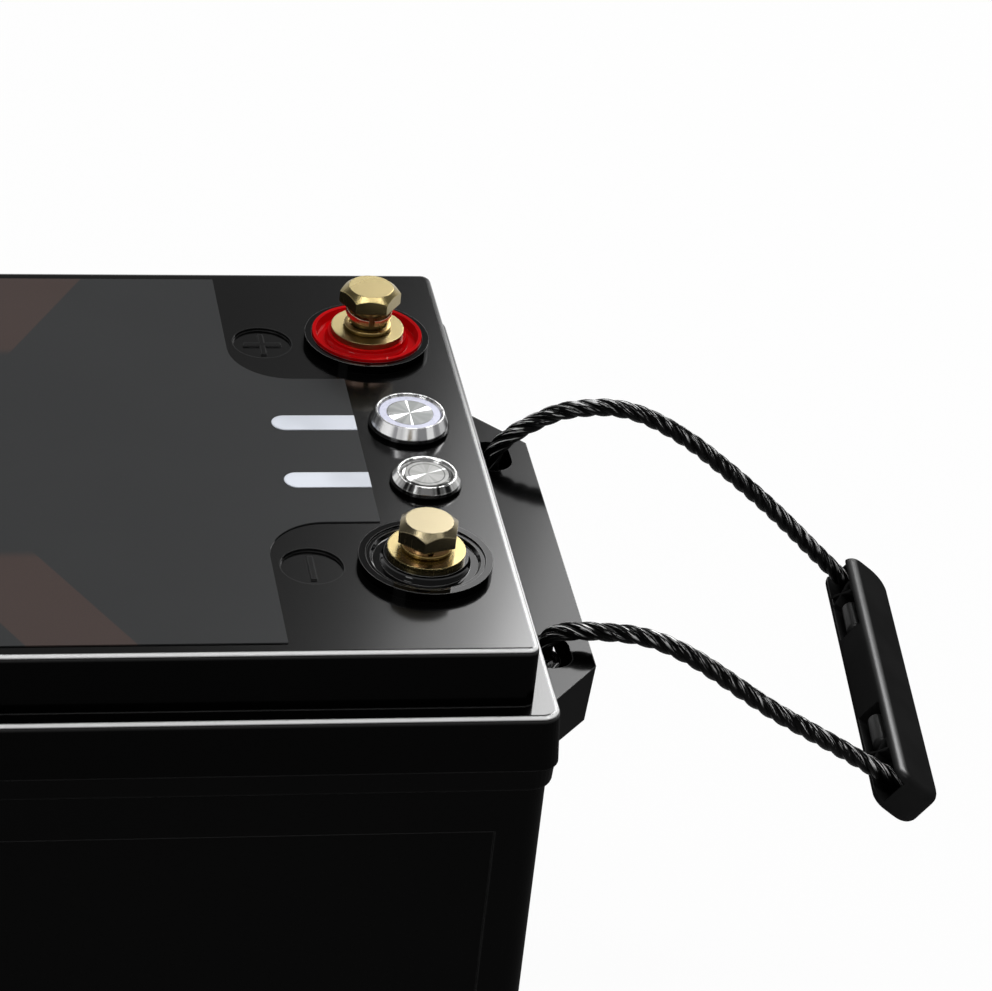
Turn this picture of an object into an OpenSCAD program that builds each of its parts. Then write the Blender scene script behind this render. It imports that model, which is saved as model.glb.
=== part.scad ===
// Sealed 12 V battery pack in a moulded case with two rope handles.
// Origin: centre of the base. +X points to the terminal end, +Y to the positive terminal side, +Z up.

/* [Case] */
// Height of the case from its base to the top of the lid
case_h = 212; // [190:1:240]
// Length of the tub over its end walls
tub_l = 330; // [320:1:360]
// Width of the tub over its side walls
tub_w = 169; // [168:1:180]
// Thickness of the tub's walls and floor
wall = 3; // [2.5:0.1:4]
// Corner radius of the tub
tub_corner_r = 5; // [4.5:0.5:8]
// Corner radius of the lid's flange
flange_corner_r = 4.4; // [4:0.1:7]
// Corner radius of the raised platform
platform_corner_r = 2.6; // [2.2:0.1:5]
// How far the top of the lid's flange stands out past the tub's end walls
flange_out = 0.8; // [0.8:0.1:2]
// How far it stands out past the side walls
flange_out_side = 1.5; // [0.8:0.1:2.4]
// How much further the flange stands out at its lower edge
flange_draft = 0.9; // [0.3:0.1:1.4]
// Height of the tub's flared rim under the flange
rim_h = 6; // [5:0.5:10]
// Depth of the shallow panel sunk into each side wall
panel_depth = 0.6; // [0.3:0.1:1]
// Margin from the sunk panel to the ends of the tub
panel_margin = 11; // [8:1:20]
// Drop from the tub's rim to the top of the sunk panel
panel_drop = 18; // [12:1:40]

/* [Lid] */
// Height of the raised platform above the flange
platform_h = 14.6; // [10:0.1:16]
// Height of the flange band
flange_h = 13.4; // [11:0.1:18]
// Step from the flange's edge in to the platform, at the ends
platform_step_x = 5.6; // [4:0.1:7]
// Step from the flange's edge in to the platform, at the sides
platform_step_y = 4.5; // [3.5:0.1:6]
// Thickness of the lid's skin
lid_skin = 3; // [2.5:0.1:4]
// Rounding of the lid's upper edges
edge_r = 1.4; // [0.8:0.1:2]
// Width of the bonding bead between tub and lid
bead_w = 2; // [1.2:0.1:2.2]
// Height of the bonding bead
bead_h = 1.5; // [1:0.1:2]

/* [Rope ears] */
// How far each ear stands out past the tub's end wall
ear_out = 16.5; // [15:0.5:22]
// Half width of the ear's straight outer edge
ear_flat = 47.5; // [44:0.5:52]
// Half width of the ear where it meets the end wall
ear_root = 66; // [62:0.5:72]
// Height of the ear
ear_h = 15.2; // [14:0.1:24]
// How far the ear's sides lean in towards its lower edge
ear_taper = 1; // [0.4:0.1:1.6]
// Thickness of the ear's top plate
ear_plate = 3; // [2:0.1:4]
// Thickness of the ear's outer wall
ear_wall = 2; // [1.5:0.1:2.5]
// Radius of each rope hole's round ends
rope_hole_r = 4.9; // [4.5:0.1:5.2]
// Length by which each rope hole is longer than round, along the ear
rope_hole_run = 3.6; // [1:0.2:5]
// Distance from the middle of the ear to each rope hole
rope_hole_y = 41.5; // [38:0.5:44]
// Distance from the end wall to the centre of each rope hole
rope_hole_x = 6.8; // [6.7:0.1:7.5]

/* [Rope handles] */
// Diameter of the rope
rope_d = 4.4; // [4:0.1:5]
// How far the rope hangs in from the middle of its hole, towards the other leg
rope_lean = 2.8; // [0:0.2:3.4]
// Radius of the knot that stops the rope under the ear
knot_r = 5.4; // [5.3:0.1:5.6]
// Height of that knot
knot_h = 10; // [7:0.5:12]
// Length of the grip
grip_l = 104; // [98:1:112]
// Depth of the grip, from its inner to its outer face
grip_depth = 14; // [13:0.5:18]
// Thickness of the grip
grip_t = 10.6; // [10:0.1:14]
// Rounding of the grip's edges
grip_r = 3; // [1.5:0.25:3.5]
// Depth of the pockets in the grip's inner face
pocket_depth = 10; // [9:0.25:11]
// Width of those pockets
pocket_w = 6.6; // [6:0.1:7]
// Length of each rope pocket
pocket_l = 13; // [11:0.5:15]
// Length of each window in the grip's inner face
window_l = 16; // [14:0.5:18]
// Distance from the middle of the grip to each window's centre
window_y = 26; // [24:0.5:28]
// Length of the bar in each window
bar_l = 12; // [10:0.5:13]
// Diameter of the bar
bar_d = 4.6; // [4:0.1:5]

/* [Label] */
// Thickness of the top label
label_t = 0.3; // [0.2:0.05:0.5]
// Margin from the label to the platform's edges
label_margin = 3.8; // [3:0.1:6]
// Distance from the tub's end to the label's straight end
label_end_inset = 32.7; // [32:0.1:35]
// Length of the label's tongue between its cut-outs
tongue_l = 26.3; // [26:0.1:30]
// Distance from each terminal's middle to the label's tongue
tongue_gap = 17.2; // [15.5:0.1:20]
// Radius of the corner where the label turns round each terminal
label_corner_r = 14; // [8:1:16]
// Length of each white button tag
tag_l = 19.6; // [16:0.1:20]
// Width of each white button tag
tag_w = 6.3; // [5:0.1:7]
// Thickness of each white button tag
tag_t = 0.2; // [0.1:0.05:0.3]
// Diameter of the sunk polarity marks
mark_d = 14; // [12:0.5:16]
// Depth of the sunk polarity marks
mark_depth = 0.8; // [0.5:0.1:1.2]
// Distance from each terminal to its polarity mark
mark_step = 25; // [24:0.1:26]

/* [Terminals] */
// Distance from the tub's end to the terminals
terminal_inset = 25.2; // [24:0.1:26]
// Distance from the tub's side to each terminal
terminal_side = 36.5; // [34.5:0.5:38.5]
// Outer diameter of the black collar round each terminal
collar_d = 29.7; // [28:0.1:31]
// Height of the collar above the lid
collar_h = 2.3; // [1.8:0.1:3]
// Width of the collar's flat rim
collar_rim = 1.6; // [1.2:0.1:2]
// Diameter of the terminal post's flange
post_flange_d = 17.3; // [16:0.1:18]
// Thickness of the terminal post's flange
post_flange_t = 1.5; // [1:0.1:2]
// Height of the flange's top above the lid
post_top = 4.6; // [4.4:0.1:6]
// Diameter of the terminal post below its flange
post_d = 12; // [11:0.1:13]
// Length of the terminal post below the lid's top
post_drop = 18; // [17:0.5:22]
// Diameter of the terminal bolt
bolt_d = 8; // [8:2:8]
// Length of the terminal bolt's shank
bolt_l = 16; // [14:0.5:17]
// Width across the flats of the bolt's head
bolt_af = 12.6; // [12:0.1:13]
// Height of the bolt's head
bolt_head_h = 4.3; // [4:0.1:5.5]
// Width of the flat on top of the head, as a share of its width across the flats
bolt_crown = 0.84; // [0.8:0.01:0.94]
// Height by which the positive bolt is left unscrewed
bolt_slack = 3.75; // [1:0.25:5]
// Diameter of the flat washer
washer_d = 13; // [12.5:0.1:15]
// Thickness of the flat washer
washer_t = 1.2; // [0.6:0.1:1.4]
// Outer diameter of the split spring washer
spring_washer_d = 11; // [10.8:0.1:12]
// Thickness of the split spring washer
spring_washer_t = 1.6; // [1.2:0.1:1.8]
// Tilt of the positive spring washer, which hangs loose under the bolt's head
spring_washer_tilt = 11; // [2:1:12]
// Width across the flats of the nuts on the terminal posts
post_nut_af = 19; // [18:0.5:22]
// Height of those nuts
post_nut_h = 4; // [3:0.5:4.5]

/* [Buttons] */
// Distance from the tub's end to the alarm button
alarm_inset = 20.4; // [20:0.1:21.5]
// Distance from the centre line to the alarm button
alarm_y = 10; // [9.5:0.1:12]
// Distance from the tub's end to the power switch
switch_inset = 20; // [20:0.1:21.5]
// Distance from the centre line to the power switch, towards the negative terminal
switch_y = 14.4; // [12:0.1:15]
// Outer diameter of the alarm button's bezel
alarm_d = 18; // [17:0.1:19]
// Height of the alarm button's crest above the lid
alarm_h = 4.2; // [3.6:0.1:5]
// Diameter of the alarm button's cap
alarm_cap_d = 10.9; // [10:0.1:11]
// Width of the alarm button's light ring
light_ring_w = 1.7; // [1.2:0.1:1.8]
// Outer diameter of the power switch's bezel
switch_d = 15.6; // [15:0.1:16.5]
// Height of the power switch's crest above the lid
switch_h = 2.9; // [2.5:0.1:4]
// Diameter of the power switch's cap
switch_cap_d = 10.2; // [9.5:0.1:10.4]
// Thickness of the rubber seal under each bezel
seal_t = 0.9; // [0.6:0.1:1.2]
// How far each seal shows past its bezel
seal_out = 0.4; // [0.2:0.1:0.6]
// Depth of each bezel's barrel below the lid's top
barrel_drop = 14; // [12:0.5:18]
// Travel of each button
press_travel = 1.5; // [1:0.1:2]
// Height of the nuts on the barrels
barrel_nut_h = 2.5; // [2:0.5:4]
// Depth of each contact block below its barrel
block_drop = 8; // [6:0.5:10]

/* [Cells] */
// Thickness of each cell
cell_t = 50; // [46:0.5:52]
// Gap between the cells and each side wall
cell_side_gap = 2.5; // [1:0.5:6]
// Height of each cell
cell_h = 118; // [110:1:120]
// Thickness of the insulating boards between the cells
spacer_t = 1.5; // [1:0.1:2]
// Distance from the cells' sides to their studs
stud_side = 29; // [25:1:33]
// Diameter of the cells' studs
stud_d = 6; // [5:0.5:8]
// Thickness of the foam under the cells
base_foam_t = 5; // [3:0.5:8]
// Thickness of the busbars and of the lugs on the leads
busbar_t = 2; // [1.5:0.1:3]
// Diameter of the power leads
lead_d = 7; // [6:0.5:7]

/* [Electronics] */
// Thickness of the mounting board over the cells
board_t = 2; // [1.5:0.1:3]
// Height of the mounting board above the cells' tops
board_lift = 14; // [13:0.5:16]
// Length of the battery management circuit board
bms_l = 140; // [130:1:150]
// Width of the battery management circuit board
bms_w = 80; // [76:1:90]
// Thickness of the circuit board
bms_t = 1.6; // [1.2:0.1:2]
// Height of the spacers under the circuit board
standoff_h = 4; // [3:0.5:5]
// Height of the power transistors
transistor_h = 4.6; // [4:0.1:6]
// Height of the heat sink's fins
fin_h = 9; // [6:0.5:12]

/* [Hidden] */
$fn = 64;

// Clearance of a running fit, on the radius
run_gap = 0.05;
// Clearance of a seated fit, on the radius
seat_gap = 0.15;
// Overcut that makes a hole pass its faces
over = 1;
// Thickness of the slices that a hull joins
slice_t = 0.02;

// Case levels
rim_z = case_h - platform_h - flange_h;
flange_z = case_h - platform_h;
inner_l = tub_l - 2 * wall;
inner_w = tub_w - 2 * wall;
flange_l = tub_l + 2 * flange_out;
flange_w = tub_w + 2 * flange_out_side;
platform_l = flange_l - 2 * platform_step_x;
platform_w = flange_w - 2 * platform_step_y;
lid_under = case_h - lid_skin;
ear_x = tub_l / 2 + ear_out;
hole_x = tub_l / 2 + rope_hole_x;
knot_y = rope_hole_y - rope_lean;
rim_step = 0.3;
rim_lean = 0.3;
rim_ease = 0.9;

// Places on the lid
terminal_x = tub_l / 2 - terminal_inset;
terminal_y = tub_w / 2 - terminal_side;
alarm_x = tub_l / 2 - alarm_inset;
switch_x = tub_l / 2 - switch_inset;
mark_x = terminal_x - mark_step;
label_end_x = tub_l / 2 - label_end_inset;
label_cut_x = label_end_x - tongue_l;
tongue_y = terminal_y - tongue_gap;

// Terminal levels, above the base
flange_top = case_h + post_top;
washer_top = flange_top + washer_t;
head_z = washer_top + spring_washer_t;
nut_z = lid_under - post_nut_h;
lug_z = nut_z - busbar_t;
lower_nut_z = lug_z - post_nut_h;
bore_drop = post_drop - 3;
spring_washer_gap = 0.3;
loose_washer_z = head_z + bolt_slack - run_gap - spring_washer_t / 2 * cos(spring_washer_tilt)
    - spring_washer_d / 2 * sin(spring_washer_tilt);

// Button levels
alarm_ring_d = alarm_cap_d + 2 * light_ring_w;
cap_t = 1.4;
ring_t = 1.5;
stem_d = 4;
spring_wire = 0.6;
barrel_wall = 1.2;
barrel_nut_rim = 4;
alarm_barrel_d = alarm_cap_d + 2 * barrel_wall;
switch_barrel_d = switch_cap_d + 2 * barrel_wall;

// Cell levels
cell_z = wall + base_foam_t;
cell_top = cell_z + cell_h;
cell_pitch = cell_t + spacer_t;
cell_w = inner_w - 2 * cell_side_gap;
stud_y = cell_w / 2 - stud_side;
vent_d = 20;
stack_l = 4 * cell_t + 5 * spacer_t;
pad_h = 2;
pad_d = 18;
link_z = cell_top + pad_h;
cell_nut_h = 4;
cell_nut_af = 10;
stud_h = pad_h + busbar_t + cell_nut_h + 1.5;
board_z = cell_top + board_lift;
board_top = board_z + board_t;
bms_x = -20;
bms_z = board_top + standoff_h;
bms_top = bms_z + bms_t;
sink_z = bms_top + transistor_h;
sink_t = 3;
sink_l = 100;
sink_w = 50;
transistor_pitch = 13;
transistor_row_y = 14;
transistor_l = 10;
transistor_w = 15;
screw_d = 3;
screw_inset = 5;

// Grip pose: centre, turn about the upright, tilt along its length, droop
grip_reach = 100.4;
grip_drop = 40.4;
grip_at = [tub_l / 2 + grip_reach, 0, rim_z - grip_drop];
grip_yaw = -7;
grip_roll = -3;
grip_droop = 36.7;
// Slot in the foam and the board for the power leads
lead_slot_l = 22;
lead_slot_w = 24;
lead_slot_h = 36;

// Rope routes from the ear's holes to the grip: distance out from the tub's end, Y, height over its rim
rope_back_points = [[6.3, 38.7, -2.7], [6.4, 38.7, 1.4], [8.3, 39, 5], [12, 39.7, 8],
    [16.8, 40.6, 10.4], [22.5, 41.5, 12.5], [29, 42.2, 13.2], [36, 42.9, 12.8],
    [43, 43.3, 10.8], [50.5, 43.7, 6.8], [58, 44.1, 1.6], [65, 44.5, -4.2],
    [72, 44.8, -10.3], [79, 45.1, -16.7], [85.5, 45.3, -23], [92, 45.4, -29.6],
    [97, 45.5, -34.6], [100.6, 45.3, -38.1], [103.4, 44.9, -40.7], [105.8, 44.6, -42.5]];
rope_front_points = [[6.1, -38.7, -2.7], [6.3, -38.7, 0.6], [8.9, -38.9, 3.2],
    [13.5, -39.4, 4], [19, -40.2, 4.2], [25.5, -41.1, 4], [32, -41.9, 2.5],
    [39, -42.6, -0.8], [46, -43, -5.4], [53.5, -43.4, -10.8], [61, -43.8, -16],
    [68.5, -44.1, -20.6], [76, -44.2, -25.2], [83, -44.1, -29.8], [89.4, -44, -34],
    [92.2, -44.3, -36], [94.6, -44.6, -37.7]];
function from_ear(points) = [for (p = points) [p[0] + tub_l / 2, p[1], p[2] + rim_z]];
rope_back_route = from_ear(rope_back_points);
rope_front_route = from_ear(rope_front_points);

// Lugs on the power leads, and where they end
lug_reach = 21.8;
lug_barrel_l = 9;
stud_eye_d = 14;
lead_gap = 0.2;
cell_lead_x = 1.5 * cell_pitch + lug_reach;
cell_lead_z = link_z + lead_d / 2;
lead_x = terminal_x - lug_reach;
lead_z = nut_z - lead_d / 2;
bms_end_l = bms_x - bms_l / 2;
bms_end_r = bms_x + bms_l / 2;
bms_lead_z = bms_top + lead_d / 2 + lead_gap;

// A point between a and b, with its own share on each axis.
function between(a, b, f) = [for (i = [0 : 2]) a[i] + (b[i] - a[i]) * f[i]];

// The positive lead rises from the last cell through the slot and up to its post.
rise_from = [cell_lead_x + 16, stud_y, board_z + 10];
rise_to = [lead_x - 6, terminal_y, lead_z];
positive_route = [[cell_lead_x + lead_gap, stud_y, cell_lead_z],
    [cell_lead_x + 7, stud_y, cell_lead_z + 0.5],
    [cell_lead_x + 13, stud_y, cell_lead_z + 4],
    [cell_lead_x + 16, stud_y, cell_lead_z + 10.5],
    rise_from,
    between(rise_from, rise_to, [0.28, 0, 0.28]) - [2, 0, 0],
    between(rise_from, rise_to, [0.47, 0.25, 0.47]) - [6.5, 0, 0],
    between(rise_from, rise_to, [0.66, 0.5, 0.66]) - [10, 0, 0],
    between(rise_from, rise_to, [0.83, 0.8, 0.83]) - [9.5, 0, 0],
    between(rise_from, rise_to, [0.96, 1, 0.96]) - [5, 0, 0],
    rise_to,
    [lead_x - lead_gap, terminal_y, lead_z]];

// The cell negative lead turns back over the mounting board to the circuit board,
// and steps in to reach it.
lead_step = 25;
cell_negative_route = [[-cell_lead_x - lead_gap, stud_y, cell_lead_z],
    [-cell_lead_x - 7, stud_y, cell_lead_z + 0.5],
    [-cell_lead_x - 13, stud_y, cell_lead_z + 4],
    [-cell_lead_x - 17, stud_y - lead_step * 0.04, cell_lead_z + 11.5],
    [-cell_lead_x - 18, stud_y - lead_step * 0.2, board_top + 10],
    [-cell_lead_x - 16, stud_y - lead_step * 0.48, board_top + 16],
    [-cell_lead_x - 11, stud_y - lead_step * 0.76, board_top + 17.5],
    [-cell_lead_x - 5, stud_y - lead_step * 0.92, board_top + 15],
    [bms_end_l - 7, stud_y - lead_step * 0.984, bms_lead_z + 1.8],
    [bms_end_l, stud_y - lead_step, bms_lead_z],
    [bms_end_l + 8, stud_y - lead_step, bms_lead_z]];

// The output negative lead leaves the circuit board's other end and rises to its post.
output_y = lead_step - stud_y;
climb_from = [bms_end_r + 18, output_y - 1, bms_lead_z + 3.7];
climb_to = [lead_x - 6, -terminal_y, lead_z];
output_negative_route = [[bms_end_r - 12, output_y, bms_lead_z],
    [bms_end_r - 2, output_y, bms_lead_z],
    [bms_end_r + 8, output_y, bms_lead_z + 0.7],
    climb_from,
    between(climb_from, climb_to, [0.23, 0.14, 0.13]),
    between(climb_from, climb_to, [0.43, 0.36, 0.31]),
    between(climb_from, climb_to, [0.61, 0.64, 0.54]),
    between(climb_from, climb_to, [0.75, 0.86, 0.76]),
    between(climb_from, climb_to, [0.87, 0.98, 0.95]),
    climb_to,
    [lead_x - lead_gap, -terminal_y, lead_z]];

// ---------- shared shapes ----------

// A rectangle with round corners, centred.
module round_rect(l, w, r) {
    square([l - 2 * r, w], center = true);
    square([l, w - 2 * r], center = true);
    for (sx = [-1, 1], sy = [-1, 1])
        translate([sx * (l / 2 - r), sy * (w / 2 - r)])
            circle(r);
}

// A plate with round corners, standing on z = 0.
module round_plate(l, w, h, r) {
    linear_extrude(h)
        round_rect(l, w, r);
}

// A thin slice at height z, for a hull to join to others.
module slice(z) {
    translate([0, 0, z])
        linear_extrude(slice_t)
            children();
}

// A plate whose upper edge is rounded by ease, and whose sides lean out by draft towards its base.
module eased_plate(l, w, h, r, ease, draft = 0) {
    hull() {
        slice(0)
            round_rect(l + 2 * draft, w + 2 * draft, r + draft, $fn = 32);
        for (a = [0, 22.5, 45, 67.5, 90])
            slice(h - ease + ease * sin(a) - slice_t)
                round_rect(l - 2 * ease * (1 - cos(a)), w - 2 * ease * (1 - cos(a)),
                    r - ease * (1 - cos(a)), $fn = 32);
    }
}

// A flat ring standing on z = 0.
module ring(outer_d, inner_d, h) {
    difference() {
        cylinder(d = outer_d, h = h);
        translate([0, 0, -over])
            cylinder(d = inner_d, h = h + 2 * over);
    }
}

// A hexagonal prism, given across its flats.
module hex(af, h) {
    cylinder(d = af / cos(30), h = h, $fn = 6);
}

// A hexagonal nut with a round hole.
module nut(af, hole_d, h) {
    difference() {
        hex(af, h);
        translate([0, 0, -over])
            cylinder(d = hole_d, h = h + 2 * over);
    }
}

// Places its children at both terminals.
module at_terminals() {
    for (side = [-1, 1])
        translate([terminal_x, side * terminal_y, 0])
            children();
}

// Vector helpers for the swept tubes.
function unit(v) = v / norm(v);
function lead_of(p, i) = unit(p[min(i + 1, len(p) - 1)] - p[max(i - 1, 0)]);
function across(t) = abs(t[1]) < 0.9 ? unit(cross([0, 1, 0], t)) : unit(cross([0, 0, 1], t));
function tube_points(p, d, n) = [for (i = [0 : len(p) - 1], k = [0 : n - 1])
    let (t = lead_of(p, i), u = across(t), v = cross(t, u), a = 360 * k / n)
        p[i] + d / 2 * (cos(a) * u + sin(a) * v)];
function tube_faces(rings, n) = concat(
    [[for (k = [0 : n - 1]) k]],
    [for (i = [0 : rings - 2], k = [0 : n - 1])
        [i * n + k, (i + 1) * n + k, (i + 1) * n + (k + 1) % n, i * n + (k + 1) % n]],
    [[for (k = [n - 1 : -1 : 0]) (rings - 1) * n + k]]);

// A plain tube along a route.
module tube(route, d, n = 10) {
    polyhedron(tube_points(route, d, n), tube_faces(len(route), n));
}

// A coil spring on the Z axis, standing on z = 0.
module coil_spring(mean_d, wire, h, turns) {
    steps = turns * 12;
    route = [for (i = [0 : steps])
        [mean_d / 2 * cos(30 * i), mean_d / 2 * sin(30 * i), wire / 2 + (h - wire) * i / steps]];
    tube(route, wire, 6);
}

// ---------- case ----------

// The outline of one rope ear, drawn on the terminal end. Its root starts at x = root.
module ear_outline(root, inset) {
    polygon([[root, -ear_root + inset * 2], [tub_l / 2, -ear_root + inset * 2],
        [ear_x - inset, -ear_flat + inset * 0.4], [ear_x - inset, ear_flat - inset * 0.4],
        [tub_l / 2, ear_root - inset * 2], [root, ear_root - inset * 2]]);
}

// A block that tapers from the ear's outline at the top to a smaller one at the bottom.
module ear_block(top, bottom, root, inset) {
    hull() {
        slice(top - slice_t)
            ear_outline(root, inset);
        slice(bottom)
            ear_outline(root, inset + ear_taper);
    }
}

// One rope hole: a slot with round ends that runs along the ear.
module rope_hole() {
    hull()
        for (end = [-1, 1])
            translate([0, end * rope_hole_run / 2])
                circle(rope_hole_r);
}

// A rope ear: a plate with two rope holes and an outer wall, open underneath.
module rope_ear() {
    difference() {
        ear_block(rim_z, rim_z - ear_h, tub_l / 2 - wall / 2, 0);
        ear_block(rim_z - ear_plate, rim_z - ear_h - over, tub_l / 2, ear_wall);
        for (side = [-1, 1])
            translate([hole_x, side * rope_hole_y, rim_z - ear_plate - over])
                linear_extrude(ear_plate + 2 * over)
                    rope_hole();
    }
}

// The tub's rim: a band under the flange, rounded in to the wall at its lower edge.
module tub_rim() {
    out = flange_out + flange_draft - rim_step;
    hull() {
        slice(rim_z - slice_t)
            rim_outline(out);
        for (a = [0, 30, 60, 90])
            slice(rim_z - rim_h + rim_ease * (1 - sin(a)))
                rim_outline(out - rim_lean - rim_ease * (1 - cos(a)));
    }
}

// The rim's outline, standing out past the end walls by out.
module rim_outline(out) {
    side = out + flange_out_side - flange_out;
    round_rect(tub_l + 2 * out, tub_w + 2 * side, tub_corner_r + out, $fn = 32);
}

module case_tub() {
    color([0.03, 0.03, 0.035])
    difference() {
        union() {
            round_plate(tub_l, tub_w, rim_z, tub_corner_r);
            tub_rim();
            rope_ear();
            mirror([1, 0, 0])
                rope_ear();
        }
        translate([0, 0, wall])
            round_plate(inner_l, inner_w, rim_z, tub_corner_r - wall);
        for (side = [-1, 1])
            translate([0, side * (tub_w / 2), (rim_z - panel_drop + panel_margin) / 2])
                cube([tub_l - 2 * panel_margin, 2 * panel_depth, rim_z - panel_drop - panel_margin],
                    center = true);
        translate([0, 0, rim_z - bead_h])
            bead(bead_h + over);
    }
}

// The bonding bead's ring, in the middle of the tub's wall top.
module bead(h) {
    difference() {
        round_plate(inner_l + wall + bead_w, inner_w + wall + bead_w, h, tub_corner_r - wall / 2 + bead_w / 2);
        translate([0, 0, -over])
            round_plate(inner_l + wall - bead_w, inner_w + wall - bead_w, h + 2 * over,
                tub_corner_r - wall / 2 - bead_w / 2);
    }
}

module lid_seal() {
    color([0.25, 0.25, 0.26])
    translate([0, 0, rim_z - bead_h])
        bead(bead_h);
}

// The sunk plus or minus mark, as the space that it leaves.
module mark(is_plus) {
    bar_w = 1.3;
    bar_len = 9;
    difference() {
        cylinder(d = mark_d, h = mark_depth + over);
        translate([0, 0, -over])
            linear_extrude(mark_depth / 2 + over) {
                square([bar_w, bar_len], center = true);
                if (is_plus)
                    square([bar_len, bar_w], center = true);
            }
    }
}

module lid_cover() {
    color([0.04, 0.04, 0.045])
    difference() {
        union() {
            translate([0, 0, rim_z])
                eased_plate(flange_l, flange_w, flange_h, flange_corner_r, edge_r, flange_draft);
            translate([0, 0, flange_z - over])
                eased_plate(platform_l, platform_w, platform_h + over, platform_corner_r, edge_r);
        }
        translate([0, 0, rim_z - over])
            round_plate(inner_l, inner_w, flange_h - lid_skin + over, tub_corner_r - wall);
        translate([0, 0, rim_z - over])
            round_plate(platform_l - 2 * lid_skin, platform_w - 2 * lid_skin,
                lid_under - rim_z + over, platform_corner_r / 2);
        at_terminals()
            translate([0, 0, lid_under - over])
                cylinder(d = post_d + 2 * seat_gap, h = lid_skin + 2 * over);
        translate([alarm_x, alarm_y, lid_under - over])
            cylinder(d = alarm_barrel_d + 2 * seat_gap, h = lid_skin + 2 * over);
        translate([switch_x, -switch_y, lid_under - over])
            cylinder(d = switch_barrel_d + 2 * seat_gap, h = lid_skin + 2 * over);
        translate([mark_x, terminal_y, case_h - mark_depth])
            mark(true);
        translate([mark_x, -terminal_y, case_h - mark_depth])
            mark(false);
    }
}

// ---------- label ----------

label_left = -(platform_l / 2 - label_margin);
label_y = platform_w / 2 - label_margin;

module top_label() {
    color([0.2, 0.2, 0.21])
    translate([0, 0, case_h])
        linear_extrude(label_t)
            difference() {
                translate([label_left, -label_y])
                    square([label_end_x - label_left, 2 * label_y]);
                for (side = [-1, 1]) {
                    translate([label_cut_x + label_corner_r, side > 0 ? tongue_y : -label_y - over])
                        square([label_end_x, label_y - tongue_y + over]);
                    translate([label_cut_x, side > 0 ? tongue_y + label_corner_r : -label_y - over])
                        square([label_end_x, label_y - tongue_y - label_corner_r + over]);
                    translate([label_cut_x + label_corner_r, side * (tongue_y + label_corner_r)])
                        circle(label_corner_r);
                }
            }
}

// One white tag, round at its far end and square at the label's end.
module button_tag() {
    translate([label_end_x - tag_l + tag_w / 2, 0])
        circle(d = tag_w);
    translate([label_end_x - tag_l + tag_w / 2, -tag_w / 2])
        square([tag_l - tag_w / 2, tag_w]);
}

module button_tags() {
    color([0.9, 0.92, 0.95])
    for (y = [alarm_y + 0.9, -switch_y + 0.7])
        translate([0, y, case_h + label_t])
            linear_extrude(tag_t)
                button_tag();
}

// ---------- terminals ----------

dish_d = collar_d - 2 * collar_rim;
dish_floor = 1;
dish_boss_d = post_flange_d + 1.4;
dish_boss_top = post_top - post_flange_t;

// The raised black ring round a terminal.
module collar() {
    translate([0, 0, case_h])
        ring(collar_d, dish_d, collar_h);
}

// The dish inside a collar, with a boss that carries the post's flange.
module dish(rim_h) {
    translate([0, 0, case_h])
        rotate_extrude()
            polygon([[post_d / 2 + seat_gap, 0], [dish_d / 2 - seat_gap, 0], [dish_d / 2 - seat_gap, rim_h],
                [dish_d / 2 - 1, rim_h],
                [dish_d / 2 - 1.6, dish_floor], [dish_boss_d / 2 + 0.6, dish_floor],
                [dish_boss_d / 2 + 0.6, dish_boss_top / 2], [dish_boss_d / 2, dish_boss_top / 2],
                [dish_boss_d / 2, dish_boss_top], [post_d / 2 + seat_gap, dish_boss_top]]);
}

// A brass terminal post with a blind bore for its bolt.
module post() {
    difference() {
        union() {
            translate([0, 0, case_h + dish_boss_top])
                cylinder(d = post_flange_d, h = post_flange_t);
            translate([0, 0, case_h - post_drop])
                cylinder(d = post_d, h = post_drop + dish_boss_top);
        }
        translate([0, 0, case_h - bore_drop])
            cylinder(d = bolt_d + 2 * run_gap, h = bore_drop + post_top + over);
    }
}

module flat_washer() {
    translate([0, 0, flange_top])
        ring(washer_d, bolt_d + 2 * seat_gap, washer_t);
}

// A split spring washer, with its middle at height z and tilted about the Y axis.
module spring_washer(z, tilt) {
    split = 14;
    bore_r = bolt_d / 2 + spring_washer_gap;
    translate([0, 0, z])
        rotate([0, tilt, -90 + split / 2])
            translate([0, 0, -spring_washer_t / 2])
                rotate_extrude(angle = 360 - split)
                    translate([bore_r, 0])
                        square([spring_washer_d / 2 - bore_r, spring_washer_t]);
}

// A hexagon head bolt; its shank is drawn at the thread's outside diameter.
module bolt(lift, turn) {
    corner_r = bolt_af / 2 / cos(30);
    crown_r = bolt_af / 2 * bolt_crown;
    translate([0, 0, head_z + lift])
        rotate([0, 0, turn]) {
            intersection() {
                hex(bolt_af, bolt_head_h);
                rotate_extrude()
                    polygon([[0, 0], [corner_r, 0], [corner_r, bolt_head_h - (corner_r - crown_r) * 0.8],
                        [crown_r, bolt_head_h], [0, bolt_head_h]]);
            }
            translate([0, 0, -bolt_l])
                cylinder(d = bolt_d, h = bolt_l);
        }
}

module at_positive() {
    translate([terminal_x, terminal_y, 0])
        children();
}

module at_negative() {
    translate([terminal_x, -terminal_y, 0])
        children();
}

module positive_collar() {
    color([0.05, 0.05, 0.05])
    at_positive()
        collar();
}

module negative_collar() {
    color([0.05, 0.05, 0.05])
    at_negative()
        collar();
}

module positive_dish() {
    color([0.8, 0.06, 0.06])
    at_positive()
        dish(collar_h + 0.7);
}

module negative_dish() {
    color([0.06, 0.06, 0.06])
    at_negative()
        dish(collar_h - 0.4);
}

module positive_post() {
    color([0.8, 0.7, 0.42])
    at_positive()
        post();
}

module negative_post() {
    color([0.8, 0.7, 0.42])
    at_negative()
        post();
}

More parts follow.
